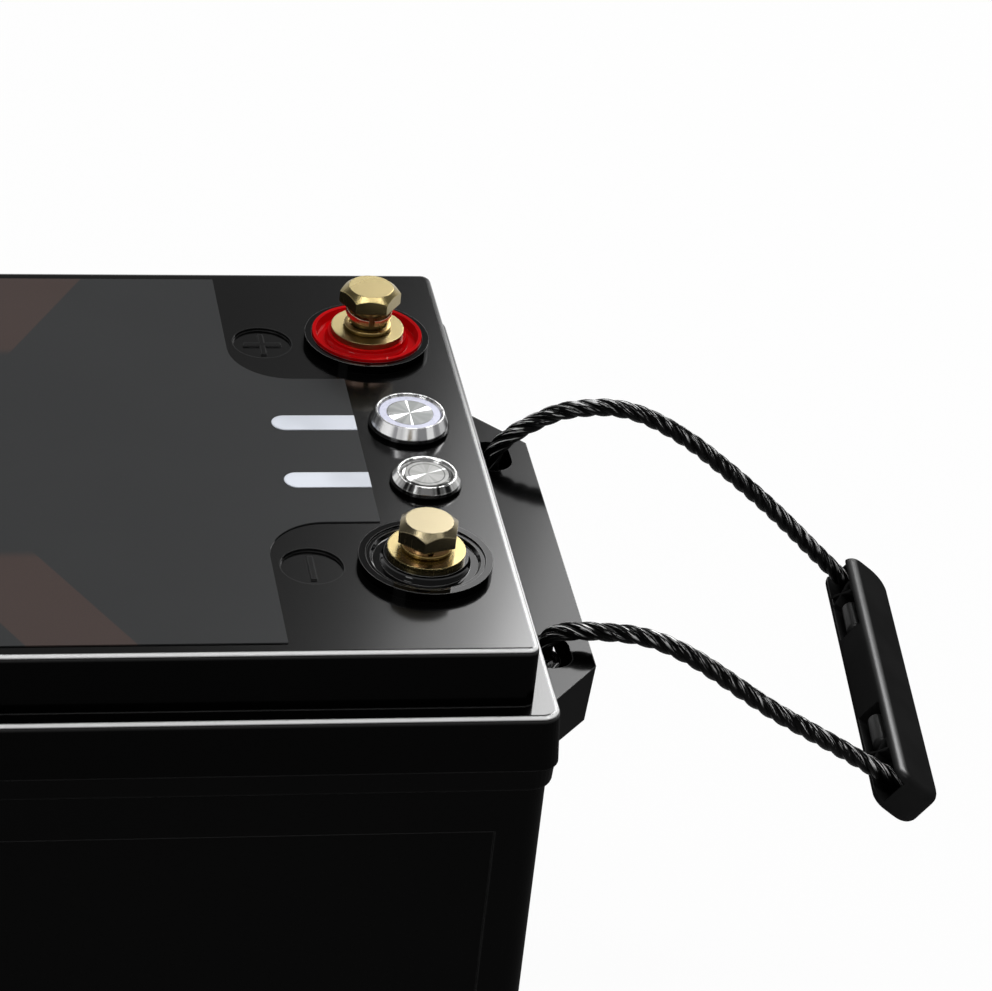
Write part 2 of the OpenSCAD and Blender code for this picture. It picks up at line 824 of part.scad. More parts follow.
module post_nuts() {
    color([0.75, 0.72, 0.6])
    at_terminals()
        for (z = [nut_z, lower_nut_z])
            translate([0, 0, z])
                nut(post_nut_af, post_d + 2 * run_gap, post_nut_h);
}

module positive_flat_washer() {
    color([0.82, 0.72, 0.45])
    at_positive()
        flat_washer();
}

module negative_flat_washer() {
    color([0.82, 0.72, 0.45])
    at_negative()
        flat_washer();
}

module positive_spring_washer() {
    color([0.8, 0.5, 0.35])
    at_positive()
        spring_washer(loose_washer_z, spring_washer_tilt);
}

module negative_spring_washer() {
    color([0.8, 0.5, 0.35])
    at_negative()
        spring_washer(head_z - spring_washer_t / 2, 0);
}

module positive_bolt() {
    color([0.82, 0.72, 0.45])
    at_positive()
        bolt(bolt_slack, -5);
}

module negative_bolt() {
    color([0.82, 0.72, 0.45])
    at_negative()
        bolt(0, 17);
}

// ---------- buttons ----------

module at_alarm() {
    translate([alarm_x, alarm_y, case_h])
        children();
}

module at_switch() {
    translate([switch_x, -switch_y, case_h])
        children();
}

// A metal bezel: a sloped flange, a seat inside its crest and a barrel through the lid.
module bezel(flange_d, crest, seat_d, seat_depth, bore_d, barrel_d) {
    crest_d = flange_d - 2;
    rotate_extrude()
        polygon([[bore_d / 2, -barrel_drop], [barrel_d / 2, -barrel_drop], [barrel_d / 2, seal_t],
            [flange_d / 2, seal_t], [flange_d / 2, seal_t + 0.6], [crest_d / 2, crest],
            [crest_d / 2 - 0.4, crest], [seat_d / 2, crest - 0.5], [seat_d / 2, crest - 0.5 - seat_depth],
            [bore_d / 2, crest - 0.5 - seat_depth]]);
}

// A button cap with the stem that carries it.
module button_cap(d, top, bottom) {
    translate([0, 0, top - cap_t])
        cylinder(d = d - 2 * run_gap, h = cap_t);
    translate([0, 0, bottom])
        cylinder(d = stem_d, h = top - cap_t - bottom);
}

// The contact block that closes a barrel, with a bore for the stem and four pins.
module contact_block(d, drop) {
    top = -barrel_drop + 5;
    difference() {
        union() {
            translate([0, 0, -barrel_drop])
                cylinder(d = d - 2 * seat_gap, h = 5);
            translate([0, 0, -barrel_drop - drop])
                cylinder(d = d + 2 * barrel_wall, h = drop);
            for (a = [0 : 90 : 270])
                rotate([0, 0, a])
                    translate([d / 2 - 1.5, -1, -barrel_drop - drop - 4])
                        cube([0.8, 2, 4 + over]);
        }
        translate([0, 0, top - stem_play])
            cylinder(d = stem_d + 2 * run_gap, h = stem_play + over);
    }
}

stem_play = press_travel + 4;
stem_reach = 2.2;
block_top = -barrel_drop + 5;
stem_bottom = block_top - stem_reach;
alarm_top = alarm_h - 0.5;
switch_top = switch_h - 0.4;

module alarm_seal() {
    color([0.05, 0.05, 0.05])
    at_alarm()
        ring(alarm_d + 2 * seal_out, alarm_barrel_d + 2 * seat_gap, seal_t);
}

module alarm_bezel() {
    color([0.75, 0.75, 0.77])
    at_alarm()
        bezel(alarm_d, alarm_h, alarm_ring_d, ring_t, alarm_cap_d, alarm_barrel_d);
}

module alarm_light_ring() {
    color([0.8, 0.85, 0.95])
    at_alarm()
        translate([0, 0, alarm_h - 0.5 - ring_t])
            ring(alarm_ring_d - 2 * run_gap, alarm_cap_d, ring_t);
}

module alarm_cap() {
    color([0.7, 0.72, 0.7])
    at_alarm()
        button_cap(alarm_cap_d, alarm_top, stem_bottom);
}

module alarm_spring() {
    color([0.6, 0.6, 0.62])
    at_alarm()
        translate([0, 0, block_top])
            coil_spring(stem_d + 2.4, spring_wire, alarm_top - cap_t - block_top, 6);
}

module alarm_block() {
    color([0.12, 0.12, 0.13])
    at_alarm()
        contact_block(alarm_cap_d, block_drop);
}

module switch_seal() {
    color([0.05, 0.05, 0.05])
    at_switch()
        ring(switch_d + 2 * seal_out, switch_barrel_d + 2 * seat_gap, seal_t);
}

module switch_bezel() {
    color([0.75, 0.75, 0.77])
    at_switch()
        bezel(switch_d, switch_h, switch_cap_d + 1.4, 0.6, switch_cap_d, switch_barrel_d);
}

module switch_cap() {
    color([0.78, 0.77, 0.74])
    at_switch()
        button_cap(switch_cap_d, switch_top, stem_bottom);
}

module switch_spring() {
    color([0.6, 0.6, 0.62])
    at_switch()
        translate([0, 0, block_top])
            coil_spring(stem_d + 2.4, spring_wire, switch_top - cap_t - block_top, 6);
}

module switch_block() {
    color([0.12, 0.12, 0.13])
    at_switch()
        contact_block(switch_cap_d, block_drop);
}

module barrel_nuts() {
    color([0.7, 0.7, 0.72])
    {
        at_alarm()
            translate([0, 0, -lid_skin - barrel_nut_h])
                nut(alarm_barrel_d + barrel_nut_rim, alarm_barrel_d + 2 * run_gap, barrel_nut_h);
        at_switch()
            translate([0, 0, -lid_skin - barrel_nut_h])
                nut(switch_barrel_d + barrel_nut_rim, switch_barrel_d + 2 * run_gap, barrel_nut_h);
    }
}

// ---------- rope handles ----------

// Places its children in the grip's own frame on the terminal end.
module at_grip() {
    translate(grip_at)
        rotate([0, 0, grip_yaw])
            rotate([grip_roll, 0, 0])
                rotate([0, grip_droop, 0])
                    children();
}

rope_pocket_inset = 7;
rope_pocket_y = grip_l / 2 - rope_pocket_inset;

// The grip: a rounded bar with rope pockets and windows in its inner face.
module grip() {
    at_grip()
        difference() {
            hull()
                for (sx = [-1, 1], sy = [-1, 1], sz = [-1, 1])
                    translate([sx * (grip_depth / 2 - grip_r), sy * (grip_l / 2 - grip_r),
                        sz * (grip_t / 2 - grip_r)])
                        sphere(grip_r, $fn = 24);
            for (side = [-1, 1]) {
                translate([-grip_depth / 2 - over, side * rope_pocket_y - pocket_l / 2, -pocket_w / 2])
                    cube([pocket_depth + over, pocket_l, pocket_w]);
                translate([-grip_depth / 2 - over, side * window_y - window_l / 2, -pocket_w / 2])
                    cube([pocket_depth / 2 + over, window_l, pocket_w]);
            }
        }
}

// The two bars that lie in the grip's windows.
module grip_bars() {
    at_grip()
        for (side = [-1, 1])
            translate([-grip_depth / 2 + pocket_depth / 2 - bar_d / 2, side * window_y, 0])
                rotate([90, 0, 0])
                    cylinder(d = bar_d - 2 * run_gap, h = bar_l, center = true);
}

// The knots that hold the rope's ends in the grip's pockets.
module grip_knots() {
    at_grip()
        for (side = [-1, 1])
            translate([0.4, side * rope_pocket_y, 0])
                rotate([0, 90, 0])
                    cylinder(d = pocket_w - 0.4, h = 2.4);
}

module right_grip() {
    color([0.08, 0.08, 0.085])
    grip();
}

module left_grip() {
    color([0.08, 0.08, 0.085])
    mirror([1, 0, 0])
        grip();
}

module right_grip_bars() {
    color([0.16, 0.16, 0.17])
    grip_bars();
}

module left_grip_bars() {
    color([0.16, 0.16, 0.17])
    mirror([1, 0, 0])
        grip_bars();
}

module right_grip_knots() {
    color([0.06, 0.06, 0.06])
    grip_knots();
}

module left_grip_knots() {
    color([0.06, 0.06, 0.06])
    mirror([1, 0, 0])
        grip_knots();
}

module right_rope_back() {
    color([0.05, 0.05, 0.05])
    tube(rope_back_route, rope_d);
}

module right_rope_front() {
    color([0.05, 0.05, 0.05])
    tube(rope_front_route, rope_d);
}

module left_rope_back() {
    color([0.05, 0.05, 0.05])
    mirror([1, 0, 0])
        tube(rope_back_route, rope_d);
}

module left_rope_front() {
    color([0.05, 0.05, 0.05])
    mirror([1, 0, 0])
        tube(rope_front_route, rope_d);
}

// The knots under the ears, which the rope hangs from.
module ear_knots() {
    color([0.06, 0.06, 0.06])
    for (sx = [-1, 1], sy = [-1, 1])
        translate([sx * hole_x, sy * knot_y, rim_z - ear_plate - knot_h])
            rotate_extrude()
                polygon([[0, 0], [knot_r - 2, 0], [knot_r, 2.5], [knot_r, knot_h - 2],
                    [knot_r - 0.3, knot_h], [0, knot_h]]);
}

// ---------- cells ----------

// One prismatic cell with its two studs and its vent.
module cell(i) {
    color([0.2, 0.35, 0.62])
    translate([(i - 1.5) * cell_pitch, 0, 0]) {
        translate([0, 0, cell_z])
            round_plate(cell_t, cell_w, cell_h, 3);
        for (side = [-1, 1])
            translate([0, side * stud_y, cell_top - over]) {
                cylinder(d = pad_d, h = pad_h + over);
                cylinder(d = stud_d, h = stud_h + over);
            }
        translate([0, 0, cell_top - over])
            cylinder(d = vent_d, h = over + 0.6);
    }
}

module cell_1() {
    cell(0);
}

module cell_2() {
    cell(1);
}

module cell_3() {
    cell(2);
}

module cell_4() {
    cell(3);
}

module cell_spacers() {
    color([0.85, 0.8, 0.55])
    for (i = [0 : 4])
        translate([(i - 2) * cell_pitch, 0, cell_z + cell_h / 2])
            cube([spacer_t, cell_w, cell_h], center = true);
}

// A busbar over two neighbouring studs.
module busbars() {
    color([0.78, 0.5, 0.35])
    for (i = [0 : 2])
        translate([(i - 1) * cell_pitch, (i == 1 ? 1 : -1) * stud_y, link_z])
            difference() {
                round_plate(cell_pitch + pad_d, pad_d, busbar_t, 3);
                for (sx = [-1, 1])
                    translate([sx * cell_pitch / 2, 0, -over])
                        cylinder(d = stud_d + 2 * seat_gap, h = busbar_t + 2 * over);
            }
}

module cell_nuts() {
    color([0.7, 0.7, 0.72])
    for (i = [0 : 3], side = [-1, 1])
        translate([(i - 1.5) * cell_pitch, side * stud_y, link_z + busbar_t])
            nut(cell_nut_af, stud_d + 2 * run_gap, cell_nut_h);
}

module base_foam() {
    color([0.15, 0.15, 0.15])
    translate([0, 0, wall])
        round_plate(inner_l, inner_w, base_foam_t, tub_corner_r - wall);
}

module end_foam() {
    foam_l = (inner_l - stack_l) / 2;
    color([0.18, 0.18, 0.18])
    for (side = [-1, 1])
        difference() {
            translate([side * (stack_l / 2 + foam_l / 2), 0, cell_z])
                round_plate(foam_l, cell_w, board_z - cell_z, tub_corner_r - wall);
            translate([side * (stack_l / 2 + lead_slot_l / 2 - over), stud_y, board_z])
                cube([lead_slot_l + 2 * over, lead_slot_w, lead_slot_h], center = true);
        }
}

// ---------- electronics ----------

module mounting_board() {
    color([0.1, 0.1, 0.1])
    difference() {
        translate([0, 0, board_z])
            round_plate(inner_l - 1, inner_w - 1, board_t, tub_corner_r - wall);
        for (side = [-1, 1])
            translate([side * (stack_l / 2 + lead_slot_l / 2 - over), stud_y, board_z])
                cube([lead_slot_l + 2 * over, lead_slot_w, 3 * board_t], center = true);
        for (sx = [-1, 1], sy = [-1, 1])
            translate([bms_x + sx * (bms_l / 2 - screw_inset), sy * (bms_w / 2 - screw_inset), board_z - over])
                cylinder(d = screw_d + 2 * run_gap, h = board_t + 2 * over);
    }
}

module bms_board() {
    color([0.05, 0.35, 0.18])
    difference() {
        translate([bms_x, 0, bms_z])
            round_plate(bms_l, bms_w, bms_t, 2);
        for (sx = [-1, 1], sy = [-1, 1])
            translate([bms_x + sx * (bms_l / 2 - screw_inset), sy * (bms_w / 2 - screw_inset), bms_z - over])
                cylinder(d = screw_d + 2 * run_gap, h = bms_t + 2 * over);
    }
}

module bms_transistors() {
    color([0.1, 0.1, 0.1])
    for (i = [-3 : 3], side = [-1, 1])
        translate([bms_x + i * transistor_pitch, side * transistor_row_y, bms_top + transistor_h / 2])
            cube([transistor_l, transistor_w, transistor_h], center = true);
}

module bms_heat_sink() {
    fins = 9;
    color([0.7, 0.72, 0.74])
    translate([bms_x, 0, sink_z]) {
        round_plate(sink_l, sink_w, sink_t, 2);
        for (i = [0 : fins - 1])
            translate([-sink_l / 2 + 2, -sink_w / 2 + 1 + i * (sink_w - 4) / (fins - 1), sink_t - over])
                cube([sink_l - 4, 2, fin_h + over]);
    }
}

// The circuit board's spacers and screws, one solid in each corner.
module bms_screws() {
    color([0.8, 0.8, 0.82])
    for (sx = [-1, 1], sy = [-1, 1])
        translate([bms_x + sx * (bms_l / 2 - screw_inset), sy * (bms_w / 2 - screw_inset), board_z]) {
            cylinder(d = screw_d, h = board_t + standoff_h + bms_t + over);
            translate([0, 0, board_t])
                cylinder(d = 6, h = standoff_h);
            translate([0, 0, board_t + standoff_h + bms_t])
                cylinder(d = 5.5, h = 2);
        }
}

module positive_lead() {
    color([0.75, 0.08, 0.06])
    tube(positive_route, lead_d);
}

module cell_negative_lead() {
    color([0.06, 0.06, 0.06])
    tube(cell_negative_route, lead_d);
}

module output_negative_lead() {
    color([0.06, 0.06, 0.06])
    tube(output_negative_route, lead_d);
}

// A ring lug: an eye at the origin and a barrel that points along +X and stands on z = 0.
module lug(hole_d, eye_d, reach) {
    difference() {
        union() {
            cylinder(d = eye_d, h = busbar_t);
            translate([0, -lead_d / 2, 0])
                cube([reach - lug_barrel_l + over, lead_d, busbar_t]);
            translate([reach - lug_barrel_l, 0, lead_d / 2])
                rotate([0, 90, 0])
                    cylinder(d = lead_d, h = lug_barrel_l);
        }
        translate([0, 0, -over])
            cylinder(d = hole_d + 2 * seat_gap, h = busbar_t + 2 * over);
    }
}

module lead_lugs() {
    color([0.78, 0.76, 0.72])
    {
        translate([1.5 * cell_pitch, stud_y, link_z])
            lug(stud_d, stud_eye_d, lug_reach);
        translate([-1.5 * cell_pitch, stud_y, link_z])
            rotate([0, 0, 180])
                lug(stud_d, stud_eye_d, lug_reach);
        at_terminals()
            translate([0, 0, nut_z])
                mirror([0, 0, 1])
                    rotate([0, 0, 180])
                        lug(post_d, post_nut_af, lug_reach);
    }
}

case_tub();
lid_cover();
lid_seal();
top_label();
button_tags();
positive_collar();
negative_collar();
positive_dish();
negative_dish();
positive_post();
negative_post();
post_nuts();
positive_flat_washer();
negative_flat_washer();
positive_spring_washer();
negative_spring_washer();
positive_bolt();
negative_bolt();
alarm_seal();
alarm_bezel();
alarm_light_ring();
alarm_cap();
alarm_spring();
alarm_block();
switch_seal();
switch_bezel();
switch_cap();
switch_spring();
switch_block();
barrel_nuts();
right_grip();
left_grip();
right_grip_bars();
left_grip_bars();
right_grip_knots();
left_grip_knots();
right_rope_back();
right_rope_front();
left_rope_back();
left_rope_front();
ear_knots();
cell_1();
cell_2();
cell_3();
cell_4();
cell_spacers();
busbars();
cell_nuts();
base_foam();
end_foam();
mounting_board();
bms_board();
bms_transistors();
bms_heat_sink();
bms_screws();
positive_lead();
cell_negative_lead();
output_negative_lead();
lead_lugs();
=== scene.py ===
"""Looks of a sealed 12 V battery pack: rope handles, terminals, buttons, label and every finish."""
import logging
import math
from dataclasses import dataclass
from enum import Enum
from functools import cache, partial, reduce
from typing import Callable, Iterable, Sequence

import bmesh
import bpy
from mathutils import Matrix, Vector


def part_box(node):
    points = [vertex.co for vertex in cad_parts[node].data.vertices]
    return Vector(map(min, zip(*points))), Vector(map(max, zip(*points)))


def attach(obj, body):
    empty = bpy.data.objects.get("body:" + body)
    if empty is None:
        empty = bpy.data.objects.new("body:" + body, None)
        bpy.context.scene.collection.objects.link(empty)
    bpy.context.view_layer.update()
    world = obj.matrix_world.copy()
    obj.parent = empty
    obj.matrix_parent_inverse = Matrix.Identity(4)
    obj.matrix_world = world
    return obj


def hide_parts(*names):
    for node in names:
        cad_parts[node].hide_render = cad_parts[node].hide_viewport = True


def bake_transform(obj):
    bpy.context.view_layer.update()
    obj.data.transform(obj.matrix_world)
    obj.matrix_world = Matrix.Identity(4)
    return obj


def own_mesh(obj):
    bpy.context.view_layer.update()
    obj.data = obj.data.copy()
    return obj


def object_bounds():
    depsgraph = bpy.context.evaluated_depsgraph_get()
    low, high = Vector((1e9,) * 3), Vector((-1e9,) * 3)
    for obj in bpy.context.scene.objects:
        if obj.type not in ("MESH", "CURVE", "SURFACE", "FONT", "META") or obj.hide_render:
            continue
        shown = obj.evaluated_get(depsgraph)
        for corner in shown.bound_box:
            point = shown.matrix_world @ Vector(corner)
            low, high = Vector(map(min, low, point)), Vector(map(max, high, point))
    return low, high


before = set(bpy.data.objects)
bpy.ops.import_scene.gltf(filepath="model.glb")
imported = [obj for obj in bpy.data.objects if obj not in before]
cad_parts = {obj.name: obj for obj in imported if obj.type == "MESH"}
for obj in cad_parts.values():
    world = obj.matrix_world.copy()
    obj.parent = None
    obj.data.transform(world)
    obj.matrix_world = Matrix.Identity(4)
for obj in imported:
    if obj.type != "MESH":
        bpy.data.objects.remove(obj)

LOG = logging.getLogger("battery_pack")
CAD_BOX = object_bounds()

Point = tuple[float, float, float]
Colour = tuple[float, float, float, float]
Out = bpy.types.NodeSocket
Sockets = dict[str, Out]
Entry = bpy.types.bpy_prop_collection
Node = bpy.types.Node
Tree = bpy.types.NodeTree
Material = bpy.types.Material
Object = bpy.types.Object
Shape = bmesh.types.BMesh
MM = 0.001
MERGE = 0.002 * MM
ENDS = (("right", 1), ("left", -1))
ROPE_SIDES = 56
LOBE_POWER = 0.7
COIL_STEPS = 28
WIRE_SIDES = 10


def grey(level: float) -> Colour:
    """A neutral colour of one level."""
    return (level, level, level, 1.0)


def shade(colour: Colour, factor: float) -> Colour:
    """A colour made darker or lighter by a factor."""
    return tuple(min(1.0, factor * part) for part in colour[:3]) + (1.0,)


def top_middle(node_name: str) -> Point:
    """The middle of the top of a CAD node's box, a point on the axis of a round one."""
    low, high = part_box(node_name)
    return ((low[0] + high[0]) / 2, (low[1] + high[1]) / 2, high[2])


# ---------------------------------------------------------------- node trees


class Wiring:
    """Adds nodes to one tree and joins them."""

    def __init__(self, tree: Tree) -> None:
        """Take the tree to fill.

        Args:
            tree: The shader or geometry tree.
        """
        self.tree = tree

    def feed(self, socket: Out, value: object) -> None:
        """Join a socket to another one, or give it a plain value.

        Args:
            socket: The input to fill.
            value: A socket to link from, or a constant.
        """
        if isinstance(value, Out):
            self.tree.links.new(value, socket)
        else:
            socket.default_value = value

    def add(self, kind: str, inputs: dict[object, object] | None = None, **settings: object) -> Node:
        """Add one node.

        Args:
            kind: The node's type name.
            inputs: What each input gets, by name or place.
            **settings: The node's own properties.

        Returns:
            The new node.
        """
        node = self.tree.nodes.new(kind)
        for name, value in settings.items():
            setattr(node, name, value)
        for name, value in (inputs or {}).items():
            self.feed(node.inputs[name], value)
        return node

    def maths(self, operation: str, *values: object, clamp: bool = False) -> Out:
        """Add a Math node.

        Args:
            operation: The node's operation.
            *values: Its inputs in order.
            clamp: Whether the result stays from 0 to 1.

        Returns:
            The node's output.
        """
        node = self.add("ShaderNodeMath", dict(enumerate(values)), operation=operation, use_clamp=clamp)
        return node.outputs[0]

    def span(self, value: object, low: object, high: object, to_low: object = 0.0, to_high: object = 1.0,
             smooth: bool = True) -> Out:
        """Map a value from one span to another, held at the ends.

        Args:
            value: What is mapped.
            low: Start of the span.
            high: End of the span.
            to_low: Result at the start.
            to_high: Result at the end.
            smooth: Whether the change eases in and out.

        Returns:
            The mapped value.
        """
        node = self.add("ShaderNodeMapRange", {0: value, 1: low, 2: high, 3: to_low, 4: to_high},
                        interpolation_type="SMOOTHSTEP" if smooth else "LINEAR", clamp=True)
        return node.outputs[0]

    def mix(self, factor: object, first: object, second: object) -> Out:
        """Mix two colours.

        Args:
            factor: Share of the second colour.
            first: Colour at 0.
            second: Colour at 1.

        Returns:
            The mixed colour.
        """
        node = self.add("ShaderNodeMix", {0: factor, 6: first, 7: second}, data_type="RGBA")
        return node.outputs[2]

    def noise(self, vector: object, scale: object, detail: float = 2.0, roughness: float = 0.5) -> Out:
        """Add a noise texture.

        Args:
            vector: Where it is read.
            scale: Its scale.
            detail: How many octaves it has.
            roughness: How strong the fine octaves are.

        Returns:
            Its value.
        """
        node = self.add("ShaderNodeTexNoise",
                        {"Vector": vector, "Scale": scale, "Detail": detail, "Roughness": roughness})
        return node.outputs["Fac"]

    def stretched(self, vector: object, scale: Point, centre: Point = (0.0, 0.0, 0.0)) -> Out:
        """Centre and stretch a vector.

        Args:
            vector: The vector.
            scale: Factor along each axis.
            centre: The point that becomes the origin.

        Returns:
            The new vector.
        """
        return self.vector("MULTIPLY", self.vector("SUBTRACT", vector, centre), scale)

    def vector(self, operation: str, *values: object, output: str = "Vector") -> Out:
        """Add a Vector Math node.

        Args:
            operation: The node's operation.
            *values: Its inputs in order.
            output: Which output is used.

        Returns:
            That output.
        """
        return self.add("ShaderNodeVectorMath", dict(enumerate(values)), operation=operation).outputs[output]

    def outward(self, vector: object) -> Out:
        """The level direction from the Z axis to a point, one unit long."""
        return self.vector("NORMALIZE", self.stretched(vector, (1.0, 1.0, 0.0)))

    def split(self, vector: object) -> tuple[Out, ...]:
        """The three parts of a vector."""
        return tuple(self.add("ShaderNodeSeparateXYZ", {0: vector}).outputs)

    def point(self, *parts: object) -> Out:
        """A vector from its first parts, the others being 0."""
        return self.add("ShaderNodeCombineXYZ", dict(enumerate(parts))).outputs[0]

    def product(self, *values: object) -> Out:
        """Multiply values from left to right."""
        return reduce(lambda first, second: self.maths("MULTIPLY", first, second), values)

    def apart(self, first: object, second: object) -> Out:
        """How far two values are apart."""
        return self.maths("ABSOLUTE", self.maths("SUBTRACT", first, second))

    def upward(self) -> Out:
        """The Z part of the surface's normal, 1 where a face looks straight up."""
        return self.split(self.add("ShaderNodeNewGeometry").outputs["Normal"])[2]


@dataclass(frozen=True)
class Socket:
    """One input or output of a node group."""

    name: str
    kind: str = "NodeSocketFloat"
    value: object = None


VECTOR = Socket("Vector", "NodeSocketVector")


def shader_group(name: str, inputs: Sequence[Socket], outputs: Sequence[Socket]) -> Callable:
    """Make a function that fills a shader group give the group itself, built at its first use.

    Args:
        name: The group's name.
        inputs: Its inputs, with their usual values.
        outputs: Its outputs.

    Returns:
        The decorator.
    """

    def build(fill: Callable[[Wiring, Sockets], dict[str, object]]) -> Tree:
        """Build the group.

        Args:
            fill: Adds the nodes and gives what feeds each output.

        Returns:
            The group, which is shared by every material that uses it.
        """
        tree = bpy.data.node_groups.new(name, "ShaderNodeTree")
        for socket in inputs:
            item = tree.interface.new_socket(socket.name, in_out="INPUT", socket_type=socket.kind)
            if socket.value is not None:
                item.default_value = socket.value
        for socket in outputs:
            tree.interface.new_socket(socket.name, in_out="OUTPUT", socket_type=socket.kind)
        wiring = Wiring(tree)
        entry = wiring.add("NodeGroupInput").outputs
        wiring.add("NodeGroupOutput", fill(wiring, {socket.name: entry[socket.name] for socket in inputs}))
        return tree

    return lambda fill: cache(partial(build, fill))


@shader_group("fine_grain", [VECTOR, Socket("Scale", value=900.0)], [Socket("Height"), Socket("Drift")])
def grain_group(w: Wiring, at: Sockets) -> dict[str, object]:
    """Fine moulding grain with a slow drift of tone.

    Two sizes of noise, one for relief and one for tone.

    Args:
        w: The group's wiring.
        at: Its inputs by name.

    Returns:
        What feeds each output.
    """
    fine = w.noise(at["Vector"], at["Scale"], 3.0, 0.6)
    slow = w.noise(at["Vector"], w.product(at["Scale"], 0.04), 2.0)
    return {"Height": fine, "Drift": w.span(slow, 0.35, 0.65)}


@shader_group("edge_wear", [VECTOR, Socket("Width", value=0.8 * MM), Socket("Scale", value=220.0),
               Socket("Evenness", value=0.4)], [Socket("Mask"), Socket("Normal", "NodeSocketVector")])
def edge_wear_and_highlight_group(w: Wiring, at: Sockets) -> dict[str, object]:
    """Edges rubbed bright by handling, and the edges that some finishes give a painted highlight.

    Where the rounded normal leaves the true one, broken up by noise.

    Args:
        w: The group's wiring.
        at: Its inputs by name.

    Returns:
        What feeds each output.
    """
    soft = w.add("ShaderNodeBevel", {"Radius": at["Width"]}, samples=4).outputs[0]
    true = w.add("ShaderNodeNewGeometry").outputs["Normal"]
    edge = w.span(w.vector("DOT_PRODUCT", soft, true, output="Value"), 0.99, 0.9)
    broken = w.span(w.noise(at["Vector"], at["Scale"], 3.0), 0.35, 0.6)
    kept = w.maths("MULTIPLY_ADD", broken, w.maths("SUBTRACT", 1.0, at["Evenness"]), at["Evenness"])
    return {"Mask": w.maths("MULTIPLY", edge, kept, clamp=True), "Normal": soft}


@shader_group("hair_scratches", [VECTOR, Socket("Amount", value=1.0)], [Socket("Mask")])
def scratch_group(w: Wiring, at: Sockets) -> dict[str, object]:
    """Hairline scratches in two directions.

    Thin bands of two long, narrow noises.

    Args:
        w: The group's wiring.
        at: Its inputs by name.

    Returns:
        What feeds each output.
    """
    lines = []
    for turn in (0.5, 2.2):
        turned = w.add("ShaderNodeVectorRotate",
                       {"Vector": at["Vector"], "Axis": (0.0, 0.0, 1.0), "Angle": turn}).outputs[0]
        long = w.noise(w.stretched(turned, (14.0, 900.0, 60.0)), 1.0, 1.0)
        lines.append(w.span(w.apart(long, 0.5), 0.006, 0.0))
    patch = w.span(w.noise(at["Vector"], 26.0, 1.0), 0.5, 0.62)
    return {"Mask": w.product(w.maths("MAXIMUM", *lines), patch, at["Amount"])}


@shader_group("settled_dust", [VECTOR, Socket("Amount", value=0.1)], [Socket("Mask")])
def dust_group(w: Wiring, at: Sockets) -> dict[str, object]:
    """Settled dust on faces that look up.

    Specks and a thin film, by how far the face looks up.

    Args:
        w: The group's wiring.
        at: Its inputs by name.

    Returns:
        What feeds each output.
    """
    up = w.span(w.upward(), 0.5, 0.95)
    specks = w.span(w.noise(at["Vector"], 1400.0, 2.0), 0.66, 0.74)
    film = w.span(w.noise(at["Vector"], 30.0, 3.0), 0.4, 0.75, 0.0, 0.35)
    return {"Mask": w.product(w.maths("ADD", specks, film), up, at["Amount"])}


@shader_group("lathe_marks", [VECTOR, Socket("Rings", value=9000.0), Socket("Fans", value=2.4),
               Socket("Offset", "NodeSocketVector")], [Socket("Rings"), Socket("Fans"), Socket("Away")])
def lathe_group(w: Wiring, at: Sockets) -> dict[str, object]:
    """Rings that a lathe leaves round one axis, and painted highlights in fan shapes round it.

    Rings by distance from the axis, the painted highlights by the angle round it.

    Args:
        w: The group's wiring.
        at: Its inputs by name.

    Returns:
        What feeds each output.
    """
    x, y, _ = w.split(at["Vector"])
    away = w.maths("SQRT", w.maths("ADD", w.product(x, x), w.product(y, y)))
    rings = w.noise(w.point(w.product(away, at["Rings"])), 1.0, 2.0, 0.7)
    fan_at = w.vector("ADD", w.outward(at["Vector"]), at["Offset"])
    painted_fans = w.span(w.noise(fan_at, at["Fans"], 1.5, 0.4), 0.42, 0.6)
    return {"Rings": rings, "Fans": painted_fans, "Away": away}


@shader_group("rim_line", [VECTOR, Socket("Half X"), Socket("Half Y"), Socket("Radius"), Socket("Top"),
               Socket("Width", value=0.9 * MM)], [Socket("Mask")])
def painted_rim_highlight_group(w: Wiring, at: Sockets) -> dict[str, object]:
    """A painted highlight line along the top rim of a rounded rectangle, fading towards the back.

    Near the outline in plan, and near the rim's height.

    Args:
        w: The group's wiring.
        at: Its inputs by name.

    Returns:
        What feeds each output.
    """
    x, y, z = w.split(at["Vector"])
    over = []
    for part, half in ((x, at["Half X"]), (y, at["Half Y"])):
        beyond = w.maths("SUBTRACT", w.maths("ABSOLUTE", part), w.maths("SUBTRACT", half, at["Radius"]))
        over.append(w.maths("MAXIMUM", beyond, 0.0))
    squares = (w.product(part, part) for part in over)
    away = w.maths("SUBTRACT", w.maths("SQRT", w.maths("ADD", *squares)), at["Radius"])
    plan = w.span(away, w.product(at["Width"], -1.0), w.product(at["Width"], -0.6))
    drop = w.maths("SUBTRACT", at["Top"], z)
    side = w.span(drop, w.product(at["Width"], 0.3), w.product(at["Width"], 0.6), 1.0, 0.0)
    fade = w.span(y, -0.03, 0.075, 1.0, 0.0)
    return {"Mask": w.product(plan, side, fade)}


@shader_group("spun_wedge", [VECTOR, Socket("Angle"), Socket("Width", value=0.2)], [Socket("Mask")])
def painted_wedge_group(w: Wiring, at: Sockets) -> dict[str, object]:
    """One painted wedge on a spun face, a highlight or a dark reflection.

    How close the angle round the axis is to the wedge's own angle.

    Args:
        w: The group's wiring.
        at: Its inputs by name.

    Returns:
        What feeds each output.
    """
    aim = w.point(w.maths("COSINE", at["Angle"]), w.maths("SINE", at["Angle"]))
    close = w.vector("DOT_PRODUCT", w.outward(at["Vector"]), aim, output="Value")
    full = w.maths("COSINE", w.product(at["Width"], 0.4))
    return {"Mask": w.span(close, w.maths("COSINE", at["Width"]), full)}


